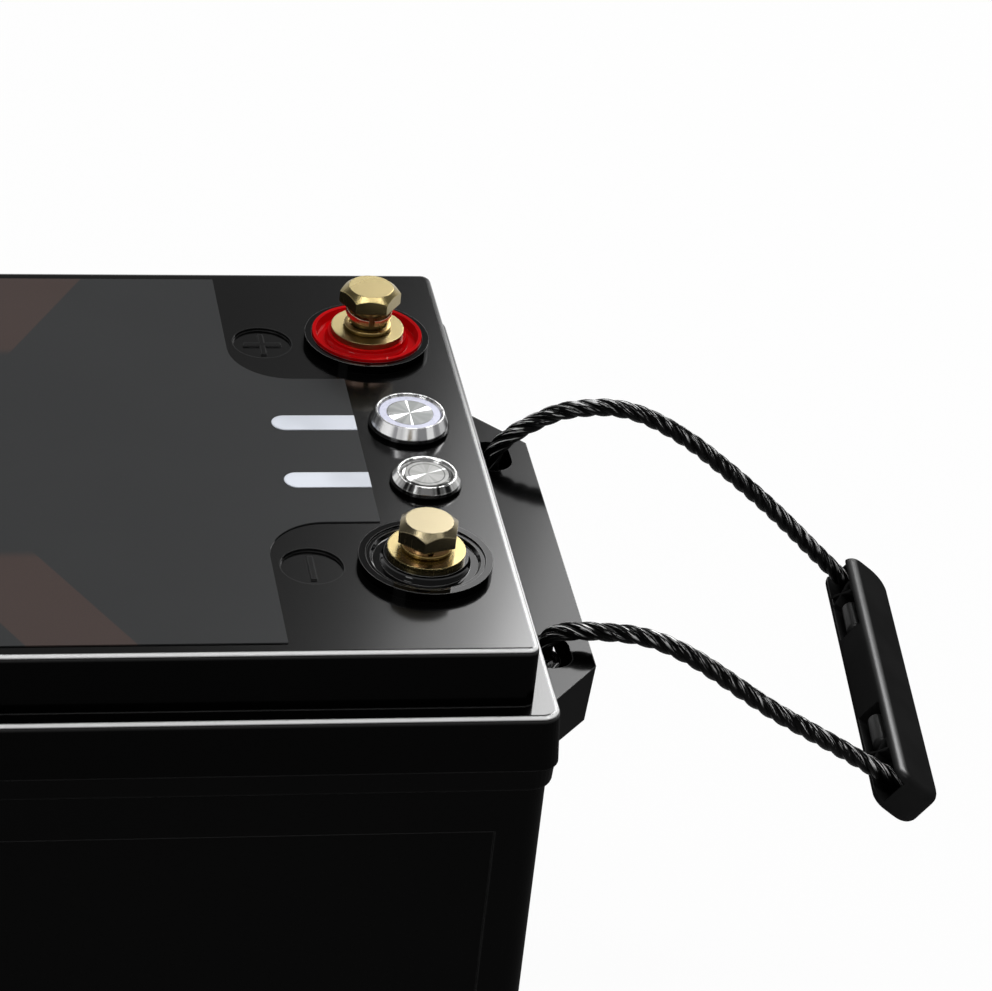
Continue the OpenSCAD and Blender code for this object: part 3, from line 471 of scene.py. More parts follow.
@shader_group("rope_yarn", [Socket("Along"), Socket("Around"), Socket("Strands", value=4.0),
               Socket("Lean", value=60.0)], [Socket("Lines"), Socket("Seam"), Socket("Glint")])
def yarn_group(w: Wiring, at: Sockets) -> dict[str, object]:
    """Filaments of a laid rope, from its length and turn attributes.

    Fine lines along each strand, painted shade in the seams between strands, and painted glints along the crests.

    Args:
        w: The group's wiring.
        at: Its inputs by name.

    Returns:
        What feeds each output.
    """
    turn = w.product(at["Around"], at["Strands"])
    off_crest = w.apart(w.maths("FRACT", turn), 0.5)
    seam_shade = w.span(off_crest, 0.34, 0.5)
    across = w.product(w.maths("MULTIPLY_ADD", at["Along"], at["Lean"], turn), 9.0)
    lines = w.noise(w.point(across, w.product(at["Along"], 260.0)), 1.0, 2.0, 0.6)
    return {"Lines": w.span(lines, 0.35, 0.65), "Seam": seam_shade,
            "Glint": w.product(w.span(lines, 0.52, 0.6), w.span(off_crest, 0.4, 0.2))}


# ---------------------------------------------------------------- finishes


class Maker(Enum):
    """How a metal's surface came about, which sets its relief."""

    TURNED = "turned"
    DRAWN = "drawn"
    CUT = "cut"


@dataclass(frozen=True)
class Finish:
    """A finish with its colour, gloss and relief; subclasses add what only they have."""

    name: str
    colour: Colour
    roughness: float = 0.4
    slot: str = ""

    def start(self, **inputs: float) -> tuple[Material, Wiring, Node, Out]:
        """Begin a material.

        Args:
            **inputs: Further values of the Principled node, with _ for a space.

        Returns:
            The material, its wiring, its Principled node and its Object coordinates.
        """
        material = bpy.data.materials.new(self.name)
        material.use_nodes = True
        tree = material.node_tree
        tree.nodes.clear()
        wiring = Wiring(tree)
        values = {"Base Color": self.colour, "Roughness": self.roughness}
        values.update((name.replace("_", " "), value) for name, value in inputs.items())
        shader = wiring.add("ShaderNodeBsdfPrincipled", values)
        wiring.add("ShaderNodeOutputMaterial", {"Surface": shader.outputs[0]})
        place = wiring.add("ShaderNodeTexCoord").outputs["Object"]
        return material, wiring, shader, place

    def use(self, wiring: Wiring, group: Tree, **inputs: object) -> Sockets:
        """Place a shared group.

        Args:
            wiring: The material's wiring.
            group: The group.
            **inputs: What its inputs get, with _ for a space.

        Returns:
            Its outputs by name.
        """
        node = wiring.add("ShaderNodeGroup", node_tree=group)
        for name, value in inputs.items():
            wiring.feed(node.inputs[name.replace("_", " ")], value)
        return {socket.name: socket for socket in node.outputs}

    def surface(self, wiring: Wiring, shader: Node, colour: object, rough: object, height: object,
                depth: float, eased: Out | None = None) -> None:
        """Give the shader its colour, roughness and bump, on eased edges where they are given.

        Args:
            wiring: The material's wiring.
            shader: The Principled node.
            colour: Its base colour.
            rough: Its roughness.
            height: What the bump follows.
            depth: The bump's depth in metres.
            eased: The normal that rounds the piece's edges.
        """
        wiring.feed(shader.inputs["Base Color"], colour)
        wiring.feed(shader.inputs["Roughness"], rough)
        bump = wiring.add("ShaderNodeBump", {"Height": height, "Strength": 1.0, "Distance": depth})
        if eased is not None:
            wiring.feed(bump.inputs["Normal"], eased)
        wiring.feed(shader.inputs["Normal"], bump.outputs[0])

    def build(self) -> Material:
        """The finished material."""
        raise NotImplementedError


@dataclass(frozen=True)
class Moulded(Finish):
    """Injection-moulded plastic or rubber with grain, handling wear, painted edge highlights, scratches and dust."""

    specular: float = 0.5
    top_gloss: float = 0.0
    side_gloss: float = 0.0
    gloss_from: float = 0.05
    gloss_to: float = 0.5
    coat_roughness: float = 0.11
    grain: float = 900.0
    depth: float = 0.006 * MM
    spread: float = 0.06
    wear: float = 0.4
    top_wear: float = 0.0
    evenness: float = 0.4
    # Top rims that get a painted highlight line: half sizes, corner radius and height.
    rims: tuple[tuple[float, float, float, float], ...] = ()
    rim_width: float = 1.25 * MM
    worn: Colour = (0.12, 0.12, 0.125, 1.0)
    wear_width: float = 0.5 * MM
    scratches: float = 0.3
    dust: float = 0.04
    dust_colour: Colour = (0.25, 0.24, 0.22, 1.0)

    def build(self) -> Material:
        """Grain and gloss, then wear on the edges with a painted highlight on edges that face up and along listed
        rims, then scratches and dust.

        Returns:
            The material.
        """
        material, w, shader, place = self.start(Specular_IOR_Level=self.specular)
        grain = self.use(w, grain_group(), Vector=place, Scale=self.grain)
        edge = self.use(w, edge_wear_and_highlight_group(), Vector=place, Width=self.wear_width, Evenness=self.evenness)
        marks = self.use(w, scratch_group(), Vector=place, Amount=self.scratches)["Mask"]
        dust = self.use(w, dust_group(), Vector=place, Amount=self.dust)["Mask"]
        colour = w.mix(grain["Drift"], shade(self.colour, 0.8), self.colour)
        up = w.split(edge["Normal"])[2]
        # Edges that face up take more of the worn colour: wear, and a painted highlight where light catches them.
        amount = w.span(up, 0.0, 0.35, self.wear, self.top_wear or self.wear)
        colour = w.mix(w.product(edge["Mask"], amount), colour, self.worn)
        # Painted highlight: a near-white line along each listed top rim.
        for half_x, half_y, radius, top in self.rims:
            line = self.use(w, painted_rim_highlight_group(), Vector=place, Half_X=half_x, Half_Y=half_y, Radius=radius, Top=top,
                            Width=self.rim_width)["Mask"]
            colour = w.mix(line, colour, grey(0.95))
        rough = w.span(grain["Drift"], 0.0, 1.0, self.roughness - self.spread, self.roughness + self.spread)
        rough = w.maths("MULTIPLY_ADD", marks, 0.2, rough)
        rough = w.maths("MULTIPLY_ADD", dust, 0.6, rough, clamp=True)
        if self.top_gloss:
            shader.inputs["Coat Roughness"].default_value = self.coat_roughness
            gloss = w.span(up, self.gloss_from, self.gloss_to, self.side_gloss, self.top_gloss)
            w.feed(shader.inputs["Coat Weight"], w.maths("SUBTRACT", gloss, w.product(dust, 0.5), clamp=True))
        self.surface(w, shader, w.mix(dust, colour, self.dust_colour), rough,
                     w.maths("MULTIPLY_ADD", marks, -0.5, grain["Height"]), self.depth, edge["Normal"])
        return material


@dataclass(frozen=True)
class Metal(Finish):
    """Bare or plated metal: turned round an axis, drawn, or cut."""

    made: Maker = Maker.CUT
    centre: Point = (0.0, 0.0, 0.0)
    tint: Colour = (0.3, 0.28, 0.25, 1.0)
    rings: float = 9000.0
    painted_fans: float = 0.0
    fan_scale: float = 2.4
    fan_offset: Point = (0.0, 0.0, 0.0)
    highlight_colour: Colour = (0.9, 0.9, 0.9, 1.0)
    painted_wedges: tuple[tuple[float, float, float], ...] = ()
    groove: float = 0.0
    groove_width: float = 0.16 * MM
    groove_shade: float = 0.85
    grain: float = 700.0
    side_lines: float = 6000.0
    drawn_lines: float = 400.0
    depth: float = 0.004 * MM
    wear: float = 0.6
    wear_width: float = 0.3 * MM
    evenness: float = 0.7
    scratches: float = 0.5
    tarnish: float = 0.35
    painted_side_shade: float = 0.0

    def build(self) -> Material:
        """Tool marks by how the piece was made, tarnish, bright edges, painted highlights and dark reflections round
        the axis, painted shade of a groove, and painted shade on steep sides.

        Returns:
            The material.
        """
        material, w, shader, place = self.start(Metallic=1.0)
        local = w.stretched(place, (1.0, 1.0, 1.0), self.centre)
        grain = self.use(w, grain_group(), Vector=place, Scale=self.grain)
        edge = self.use(w, edge_wear_and_highlight_group(), Vector=place, Width=self.wear_width, Evenness=self.evenness)
        marks = self.use(w, scratch_group(), Vector=place, Amount=self.scratches)["Mask"]
        colour = w.mix(w.product(grain["Drift"], self.tarnish), self.colour, self.tint)
        height = grain["Height"]
        if self.made is Maker.TURNED:
            lathe = self.use(w, lathe_group(), Vector=local, Rings=self.rings, Fans=self.fan_scale,
                             Offset=self.fan_offset)
            side = w.noise(w.stretched(local, (0.0, 0.0, self.side_lines)), 1.0, 2.0)
            height = w.mix(w.span(w.maths("ABSOLUTE", w.upward()), 0.3, 0.8), side, lathe["Rings"])
            # Painted highlight: bright patches by the angle round the axis, for the spun face's reflections.
            if self.painted_fans:
                colour = w.mix(w.product(lathe["Fans"], self.painted_fans), colour, self.highlight_colour)
            # Painted wedge shapes: a positive share paints a highlight, a negative one a dark reflection.
            for angle, width, share in self.painted_wedges:
                wedge = self.use(w, painted_wedge_group(), Vector=local, Angle=math.radians(angle),
                                 Width=math.radians(width))["Mask"]
                colour = w.mix(w.product(wedge, abs(share)), colour, self.highlight_colour if share > 0 else grey(0.01))
            # Painted shade: a dark ring where the cap's groove would hold shade, in colour only.
            if self.groove:
                cut = w.span(w.apart(lathe["Away"], self.groove), self.groove_width, self.groove_width * 0.6)
                colour = w.mix(w.product(cut, self.groove_shade), colour, grey(0.02))
        elif self.made is Maker.DRAWN:
            height = w.noise(w.stretched(local, (self.drawn_lines, self.drawn_lines, self.side_lines)), 1.0, 2.0)
        # Painted shade: faces that stand steep darken towards the tint, for dark reflections on the sides.
        if self.painted_side_shade:
            steep = w.span(w.maths("ABSOLUTE", w.upward()), 0.75, 0.1)
            colour = w.mix(w.product(steep, self.painted_side_shade, w.span(grain["Drift"], -0.5, 1.0)), colour, self.tint)
        colour = w.mix(w.product(edge["Mask"], self.wear), colour, shade(self.colour, 1.25))
        rough = w.span(grain["Drift"], 0.0, 1.0, self.roughness * 0.8, self.roughness * 1.25)
        self.surface(w, shader, colour, w.maths("MULTIPLY_ADD", marks, 0.15, rough, clamp=True),
                     w.maths("MULTIPLY_ADD", marks, -0.6, height), self.depth, edge["Normal"])
        return material


@dataclass(frozen=True)
class LaidRope(Finish):
    """Black laid rope: filaments along each strand, painted glints where their crests face up, and painted shade in
    the seams between them.
    """

    strands: int = 4
    painted_glint: Colour = grey(0.8)
    seam_shade: Colour = grey(0.0003)
    fuzz: float = 2500.0
    depth: float = 0.1 * MM

    def build(self) -> Material:
        """Painted glints on the filament lines that face up, and painted shade in the seams.

        Returns:
            The material.
        """
        material, w, shader, place = self.start(Specular_IOR_Level=0.05, Coat_Roughness=0.22)
        along = w.add("ShaderNodeAttribute", attribute_name="along").outputs["Fac"]
        around = w.add("ShaderNodeAttribute", attribute_name="around").outputs["Fac"]
        yarn = self.use(w, yarn_group(), Along=along, Around=around, Strands=float(self.strands))
        fuzz = self.use(w, grain_group(), Vector=place, Scale=self.fuzz)
        up = w.span(w.upward(), 0.1, 0.7)
        # Painted highlight: glints on the strands' crests, only where they face up.
        colour = w.mix(w.product(yarn["Glint"], up), self.colour, self.painted_glint)
        w.feed(shader.inputs["Coat Weight"], w.product(up, w.span(yarn["Glint"], 0.0, 1.0, 0.02, 1.0)))
        # Painted shade: the seams between strands are darker.
        self.surface(w, shader, w.mix(yarn["Seam"], colour, self.seam_shade),
                     w.span(yarn["Lines"], 0.0, 1.0, 0.55, self.roughness),
                     w.maths("MULTIPLY_ADD", fuzz["Height"], 0.3, yarn["Lines"]), self.depth)
        return material


@dataclass(frozen=True)
class Foam(Finish):
    """Open-cell foam."""

    cells: float = 700.0
    grain: float = 300.0
    depth: float = 0.5 * MM

    def build(self) -> Material:
        """Round cells of two sizes over a slow drift of tone.

        Returns:
            The material.
        """
        material, w, shader, place = self.start()
        cells = w.add("ShaderNodeTexVoronoi", {"Vector": place, "Scale": self.cells}).outputs["Distance"]
        grain = self.use(w, grain_group(), Vector=place, Scale=self.grain)
        dark = shade(self.colour, 0.4)
        tone = w.mix(w.span(cells, 0.1, 0.5), dark, self.colour)
        self.surface(w, shader, w.mix(w.product(grain["Drift"], 0.4), tone, dark),
                     w.span(cells, 0.0, 0.6, 0.75, self.roughness), cells, self.depth)
        return material


@dataclass(frozen=True)
class Board(Finish):
    """Glass-epoxy board: weave under the surface, and tracks where it is a circuit."""

    track: Colour | None = None
    threads: float = 4200.0
    grain: float = 400.0
    depth: float = 0.02 * MM

    def build(self) -> Material:
        """A fine square weave, with tracks on a circuit board.

        Returns:
            The material.
        """
        material, w, shader, place = self.start()
        x, y, _ = w.split(w.stretched(place, (self.threads, self.threads, self.threads)))
        weave = w.product(w.maths("SINE", x), w.maths("SINE", y))
        grain = self.use(w, grain_group(), Vector=place, Scale=self.grain)
        colour = w.mix(w.span(weave, -1.0, 1.0, 0.0, 0.5), self.colour, shade(self.colour, 1.3))
        if self.track is not None:
            lanes = w.add("ShaderNodeTexBrick", {"Vector": place, "Scale": 60.0, "Mortar Size": 0.03,
                                                 "Brick Width": 0.9, "Row Height": 0.22})
            colour = w.mix(lanes.outputs["Fac"], colour, self.track)
        self.surface(w, shader, w.mix(w.product(grain["Drift"], 0.2), colour, self.colour),
                     w.span(grain["Height"], 0.3, 0.7, self.roughness, self.roughness + 0.15), weave, self.depth)
        return material


@dataclass(frozen=True)
class LabelFilm(Finish):
    """The printed film on the lid: a plain dark field with faint warm slanting bands."""

    band: Colour = (0.075, 0.055, 0.05, 1.0)
    slope: float = 0.55
    band_ends: tuple[tuple[float, float], ...] = ((0.008, 0.031), (-0.022, 0.001), (-0.15, -0.06))
    band_blur: float = 0.6 * MM
    clear_half: float = 0.041
    clear_blur: float = 4.0 * MM
    gloss: float = 0.35
    grain: float = 2600.0
    dust: float = 0.03
    depth: float = 0.003 * MM

    def build(self) -> Material:
        """Slanting bands on both sides of a clear middle, under a clear coat.

        Returns:
            The material.
        """
        material, w, shader, place = self.start(Specular_IOR_Level=0.0, Coat_Weight=self.gloss, Coat_Roughness=0.13)
        x, y, _ = w.split(place)
        away = w.maths("ABSOLUTE", y)
        slant = w.maths("MULTIPLY_ADD", away, -self.slope, x)
        stripes: object = 0.0
        for low, high in self.band_ends:
            after = w.span(slant, low - self.band_blur, low)
            before = w.span(slant, high, high + self.band_blur, 1.0, 0.0)
            stripes = w.maths("MAXIMUM", stripes, w.product(after, before))
        fade = w.span(away, self.clear_half, self.clear_half + self.clear_blur)
        printed = self.use(w, grain_group(), Vector=place, Scale=self.grain)
        mask = w.product(stripes, fade, w.span(printed["Height"], 0.2, 0.6, 0.6, 1.0))
        dust = self.use(w, dust_group(), Vector=place, Amount=self.dust)["Mask"]
        self.surface(w, shader, w.mix(dust, w.mix(mask, self.colour, self.band), grey(0.2)),
                     w.span(printed["Drift"], 0.0, 1.0, self.roughness, self.roughness + 0.08), printed["Height"],
                     self.depth)
        return material


@dataclass(frozen=True)
class Diffuser(Finish):
    """Milky plastic of a light ring."""

    reach: float = 1.0 * MM
    grain: float = 1500.0
    depth: float = 0.004 * MM

    def build(self) -> Material:
        """Soft, slightly see-into plastic with fine cloudiness.

        Returns:
            The material.
        """
        material, w, shader, place = self.start(Subsurface_Weight=0.3)
        shader.inputs["Subsurface Radius"].default_value = (self.reach, self.reach, self.reach)
        grain = self.use(w, grain_group(), Vector=place, Scale=self.grain)
        self.surface(w, shader, w.mix(grain["Drift"], self.colour, shade(self.colour, 1.12)),
                     w.span(grain["Height"], 0.3, 0.7, self.roughness, self.roughness + 0.1), grain["Height"],
                     self.depth)
        return material


class Palette:
    """Builds each finish once and puts it on CAD nodes and pieces."""

    def __init__(self) -> None:
        """Start with no materials."""
        self.made: dict[str, Material] = {}

    def material(self, finish: Finish) -> Material:
        """The material of a finish, built at its first use.

        Args:
            finish: The finish.

        Returns:
            The material.
        """
        if finish.name not in self.made:
            self.made[finish.name] = finish.build()
        return self.made[finish.name]

    def dress(self, finish: Finish, *names: str) -> None:
        """Give CAD nodes a finish.

        Args:
            finish: The finish.
            *names: The nodes' names.
        """
        for name in names:
            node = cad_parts[name]
            node.data.materials.clear()
            node.data.materials.append(self.material(finish))

    def paint(self, finish: Finish, piece: Object) -> Object:
        """Give a new piece a finish.

        Args:
            finish: The finish.
            piece: The piece.

        Returns:
            The piece.
        """
        piece.data.materials.clear()
        piece.data.materials.append(self.material(finish))
        return piece


# ---------------------------------------------------------------- meshes


def link_mesh(name: str, mesh: bpy.types.Mesh) -> Object:
    """Put a mesh in the scene as an object at the origin.

    Args:
        name: The object's name.
        mesh: The mesh.

    Returns:
        The object.
    """
    obj = bpy.data.objects.new(name, mesh)
    bpy.context.scene.collection.objects.link(obj)
    return obj


def polyline(name: str, points: Iterable[Vector]) -> Object:
    """A mesh of edges through points, for a tree to sweep along.

    Args:
        name: The object's name.
        points: The points in order.

    Returns:
        The object.
    """
    points = list(points)
    mesh = bpy.data.meshes.new(name)
    mesh.from_pydata([tuple(p) for p in points], [(i, i + 1) for i in range(len(points) - 1)], [])
    return link_mesh(name, mesh)


def grown(name: str, source: Object, tree: Tree, **inputs: object) -> Object:
    """Run a geometry tree on an object and keep the result as a plain mesh.

    Args:
        name: The new piece's name.
        source: What the tree starts from; it is removed.
        tree: The tree.
        **inputs: The tree's inputs by name, with _ for a space.

    Returns:
        The plain piece.
    """
    modifier = source.modifiers.new("grow", "NODES")
    modifier.node_group = tree
    keys = {item.name.replace(" ", "_"): item.identifier for item in tree.interface.items_tree
            if item.item_type == "SOCKET" and item.in_out == "INPUT"}
    for label, value in inputs.items():
        modifier[keys[label]] = value
    source.update_tag()
    bpy.context.view_layer.update()
    mesh = bpy.data.meshes.new_from_object(source.evaluated_get(bpy.context.evaluated_depsgraph_get()))
    source.modifiers.remove(modifier)
    bpy.data.objects.remove(source)
    mesh.name = name
    return link_mesh(name, mesh)


def smooth_route(points: Sequence[Point], spacing: float, steps: int = 12) -> list[Vector]:
    """A smooth curve through a route's points, at an even spacing.

    Args:
        points: The route.
        spacing: Distance from one new point to the next.
        steps: Steps between two points before they are spaced evenly.

    Returns:
        The new points, with both ends kept.
    """
    knots = [Vector(p) for p in points]
    fine: list[Vector] = []
    for i in range(len(knots) - 1):
        before, here, after, beyond = (knots[max(0, min(len(knots) - 1, i + k))] for k in (-1, 0, 1, 2))
        for step in range(steps):
            t = step / steps
            fine.append(0.5 * (2 * here + (after - before) * t + (2 * before - 5 * here + 4 * after - beyond) * t ** 2
                               + (3 * here - before - 3 * after + beyond) * t ** 3))
    fine.append(knots[-1])
    total = sum((b - a).length for a, b in zip(fine, fine[1:]))
    count = max(2, round(total / spacing))
    even, walked, target = [fine[0]], 0.0, total / count
    for a, b in zip(fine, fine[1:]):
        reach = (b - a).length
        while len(even) < count and walked + reach >= target * len(even):
            even.append(a.lerp(b, (target * len(even) - walked) / reach))
        walked += reach
    even.append(fine[-1])
    return even


def sweep_tree(name: str, numbers: Sequence[str], counts: Sequence[str] = ()) -> Callable:
    """Make a function that gives a curve and a profile give a tree that sweeps one along the other.

    Args:
        name: The tree's name.
        numbers: Its inputs that take a number, by name.
        counts: Its inputs that take a whole number.

    Returns:
        The decorator.
    """

    def build(fill: Callable[[Wiring, Entry], tuple[Out, Out]]) -> Tree:
        """Build the tree.

        Args:
            fill: Adds the nodes from the tree's inputs to the curve and the profile, which it gives.

        Returns:
            The tree, whose mesh is smooth, real and in its finish.
        """
        tree = bpy.data.node_groups.new(name, "GeometryNodeTree")
        for label, kind in (("Geometry", "Geometry"), *((n, "Float") for n in numbers),
                            *((n, "Int") for n in counts), ("Finish", "Material")):
            tree.interface.new_socket(label, in_out="INPUT", socket_type=f"NodeSocket{kind}")
        tree.interface.new_socket("Geometry", in_out="OUTPUT", socket_type="NodeSocketGeometry")
        w = Wiring(tree)
        entry = w.add("NodeGroupInput").outputs
        curve, profile = fill(w, entry)
        solid = w.add("GeometryNodeCurveToMesh", {"Curve": curve, "Profile Curve": profile, "Fill Caps": True})
        smooth = w.add("GeometryNodeSetShadeSmooth", {0: solid.outputs[0]})
        real = w.add("GeometryNodeRealizeInstances", {0: smooth.outputs[0]})
        done = w.add("GeometryNodeSetMaterial", {"Geometry": real.outputs[0], "Material": entry["Finish"]})
        w.add("NodeGroupOutput", {0: done.outputs[0]})
        return tree

    return lambda fill: cache(partial(build, fill))


def kept_as(w: Wiring, curve: object, name: str, value: object) -> Out:
    """Store a number on a curve's points, for the material to read."""
    return w.add("GeometryNodeStoreNamedAttribute", {"Geometry": curve, "Name": name, "Value": value},
                 data_type="FLOAT", domain="POINT").outputs[0]


@sweep_tree("laid_rope", ("Radius", "Lay", "Groove"), ("Strands",))
def rope_tree(w: Wiring, at: Entry) -> tuple[Out, Out]:
    """A tree that lays a rope of several strands along a line of edges.

    The line turns along its length, and the profile has one lobe for each strand.

    Args:
        w: The tree's wiring.
        at: Its inputs by name.

    Returns:
        The line and the profile.
    """
    line = w.add("GeometryNodeMeshToCurve", {0: at["Geometry"]}).outputs[0]
    length = w.add("GeometryNodeSplineParameter").outputs["Length"]
    turn = w.product(w.maths("DIVIDE", length, at["Lay"]), math.tau)
    line = w.add("GeometryNodeSetCurveTilt", {"Curve": kept_as(w, line, "along", length), "Tilt": turn}).outputs[0]
    circle = w.add("GeometryNodeCurvePrimitiveCircle", {"Resolution": ROPE_SIDES, "Radius": 1.0}).outputs[0]
    share = w.add("GeometryNodeSplineParameter").outputs["Factor"]
    wave = w.maths("ABSOLUTE", w.maths("SINE", w.product(share, at["Strands"], math.pi)))
    dip = w.maths("SUBTRACT", 1.0, w.maths("POWER", wave, LOBE_POWER))
    radius = w.product(at["Radius"], w.maths("SUBTRACT", 1.0, w.product(at["Groove"], dip)))
    spot = w.add("GeometryNodeInputPosition").outputs[0]
    out = w.add("ShaderNodeVectorMath", {0: spot, "Scale": radius}, operation="SCALE").outputs[0]
    profile = w.add("GeometryNodeSetPosition", {"Geometry": kept_as(w, circle, "around", share), "Position": out})
    return line, profile.outputs[0]


@sweep_tree("wound_spring", ("Coil Radius", "Wire Radius", "Height", "Turns"))
def spring_tree(w: Wiring, at: Entry) -> tuple[Out, Out]:
    """A tree that winds a compression spring up from the origin.

    Args:
        w: The tree's wiring.
        at: Its inputs by name.

    Returns:
        The coil and the wire's round profile.
    """
    coil = w.add("GeometryNodeCurveSpiral", {
        "Resolution": COIL_STEPS, "Rotations": at["Turns"], "Start Radius": at["Coil Radius"],
        "End Radius": at["Coil Radius"], "Height": at["Height"]})
    wire = w.add("GeometryNodeCurvePrimitiveCircle", {"Resolution": WIRE_SIDES, "Radius": at["Wire Radius"]})
    return coil.outputs[0], wire.outputs[0]


def merged_copy(node_name: str, name: str) -> Object:
    """A piece made from a copy of a CAD node's mesh, with its loose triangles joined.

    Args:
        node_name: The node.
        name: The new piece's name.

    Returns:
        The piece.
    """
    shape = bmesh.new()
    shape.from_mesh(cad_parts[node_name].data)
    bmesh.ops.remove_doubles(shape, verts=shape.verts, dist=MERGE)
    mesh = bpy.data.meshes.new(name)
    shape.to_mesh(mesh)
    shape.free()
    return link_mesh(name, mesh)


def shade_below(mesh: bpy.types.Mesh, degrees: float) -> None:
    """Shade a mesh smooth but for edges sharper than an angle."""
    mesh.shade_smooth()
    mesh.set_sharp_from_angle(angle=math.radians(degrees))


def smoothed(node_name: str, body: str, smooth_below: float = 14.0) -> Object:
    """Replace a round CAD node by a copy of it with smooth sides.

    Args:
        node_name: The node.
        body: The body it moves with.
        smooth_below: Edges flatter than this many degrees are shaded smooth, and no flat top with them.

    Returns:
        The piece.
    """
    piece = merged_copy(node_name, f"{node_name}_round")
    shade_below(piece.data, smooth_below)
    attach(piece, body)
    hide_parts(node_name)
    return piece


def outline(half_x: float, half_y: float, radii: tuple[float, float], steps: int = 8) -> list[tuple[float, float]]:
    """A rectangle with rounded corners, anticlockwise.

    Args:
        half_x: Half its size along X.
        half_y: Half its size along Y.
        radii: Corner radius at the -X side and at the +X side.
        steps: Segments in each corner.

    Returns:
        The outline's points.
    """
    points = []
    for sx, sy, start in ((1, 1, 0), (-1, 1, 90), (-1, -1, 180), (1, -1, 270)):
        radius = radii[sx > 0]
        for k in range(steps + 1):
            turn = math.radians(start + 90 * k / steps)
            points.append((sx * (half_x - radius) + radius * math.cos(turn),
                           sy * (half_y - radius) + radius * math.sin(turn)))
    return points


def slab(half_x: float, half_y: float, half_z: float, radii: tuple[float, float], eased: float = 0.0,
         steps: int = 6) -> Shape:
    """A block with rounded corners in plan and, where asked, rounded rims.

    Args:
        half_x: Half its size along X.
        half_y: Half its size along Y.
        half_z: Half its size along Z.
        radii: Corner radius at the -X side and at the +X side.
        eased: Radius of the rims, less than the corners'.
        steps: Segments across each rim.

    Returns:
        The open bmesh, which the caller frees.
    """
    turns = [math.radians(90 * k / steps) for k in range(steps + 1)] if eased else [0.0]
    levels = [(eased * (1 - math.cos(t)), half_z - eased * (1 - math.sin(t))) for t in turns]
    levels = [(inset, -z) for inset, z in levels[::-1]] + levels
    shape = bmesh.new()
    rings = [[shape.verts.new((x, y, z)) for x, y in
              outline(half_x - inset, half_y - inset, (radii[0] - inset, radii[1] - inset))]
             for inset, z in levels]
    shape.faces.new(rings[0][::-1])
    shape.faces.new(rings[-1])
    for low, high in zip(rings, rings[1:]):
        for i in range(len(low)):
            j = (i + 1) % len(low)
            shape.faces.new((low[i], low[j], high[j], high[i]))
    bmesh.ops.recalc_face_normals(shape, faces=shape.faces)
    return shape


def piece_of(name: str, shapes: Iterable[Shape], place: Matrix | None = None, smooth_below: float = 35.0) -> Object:
    """Join bmeshes into one object whose place is in its mesh.

    Args:
        name: The object's name.
        shapes: The bmeshes, which are freed.
        place: Where the whole goes; a mirror turns its faces round again.
        smooth_below: Edges flatter than this many degrees are shaded smooth.

    Returns:
        The object.
    """
    whole = bmesh.new()
    for shape in shapes:
        part = bpy.data.meshes.new("part")
        shape.to_mesh(part)
        shape.free()
        whole.from_mesh(part)
        bpy.data.meshes.remove(part)
    if place is not None:
        whole.transform(place)
    bmesh.ops.recalc_face_normals(whole, faces=whole.faces)
    mesh = bpy.data.meshes.new(name)
    whole.to_mesh(mesh)
    whole.free()
    shade_below(mesh, smooth_below)
    return link_mesh(name, mesh)


def carve(piece: Object, cutters: Sequence[Object], smooth_below: float = 35.0) -> None:
    """Cut pieces out of a piece and keep the result as its plain mesh.

    Args:
        piece: What is cut.
        cutters: What is taken out; they are removed.
        smooth_below: Edges flatter than this many degrees are shaded smooth.
    """
    for cutter in cutters:
        modifier = piece.modifiers.new("carve", "BOOLEAN")
        modifier.operation, modifier.solver, modifier.object = "DIFFERENCE", "EXACT", cutter
        bpy.context.view_layer.update()
        mesh = bpy.data.meshes.new_from_object(piece.evaluated_get(bpy.context.evaluated_depsgraph_get()))
        piece.modifiers.remove(modifier)
        piece.data = mesh
        bpy.data.objects.remove(cutter)
    shape = bmesh.new()
    shape.from_mesh(piece.data)
    bmesh.ops.remove_doubles(shape, verts=shape.verts, dist=MERGE / 2)
    shape.to_mesh(piece.data)
    shape.free()
    shade_below(piece.data, smooth_below)


def wall(shape: Shape, near: Sequence[bmesh.types.BMVert], far: Sequence[bmesh.types.BMVert]) -> None:
    """Close the gap between two rings of as many corners by four-sided faces.

    Args:
        shape: The bmesh that gets the faces.
        near: The first ring's corners.
        far: The second ring's corners.
    """
    for i in range(len(near)):
        j = (i + 1) % len(near)
        shape.faces.new((near[i], far[i], far[j], near[j]))


def eased_rim(outer: float, half: float, ease: float, step: int) -> list[tuple[float, float]]:
    """The rounded rim of a turned piece, from its side up to its top.

    Args:
        outer: Radius of the side.
        half: Height of the top.
        ease: Radius of the rim.
        step: Degrees from one point to the next.

    Returns:
        The rim's points as radius and height.
    """
    turns = [math.radians(a) for a in range(0, 91, step)]
    return [(outer - ease * (1 - math.cos(t)), half - ease * (1 - math.sin(t))) for t in turns]


def turned(profile: Sequence[tuple[float, float]], segments: int = 64) -> Shape:
    """Turn a closed profile of radius and height round the Z axis.

    Args:
        profile: The profile's corners, none of them on the axis.
        segments: Segments round the axis.

    Returns:
        The open bmesh, which the caller frees.
    """
    shape = bmesh.new()
    rings = [[shape.verts.new((r * math.cos(math.tau * k / segments), r * math.sin(math.tau * k / segments), z))
              for r, z in profile] for k in range(segments)]
    for k, ring in enumerate(rings):
        wall(shape, ring, rings[(k + 1) % segments])
    bmesh.ops.recalc_face_normals(shape, faces=shape.faces)
    return shape


# ---------------------------------------------------------------- sub-assemblies


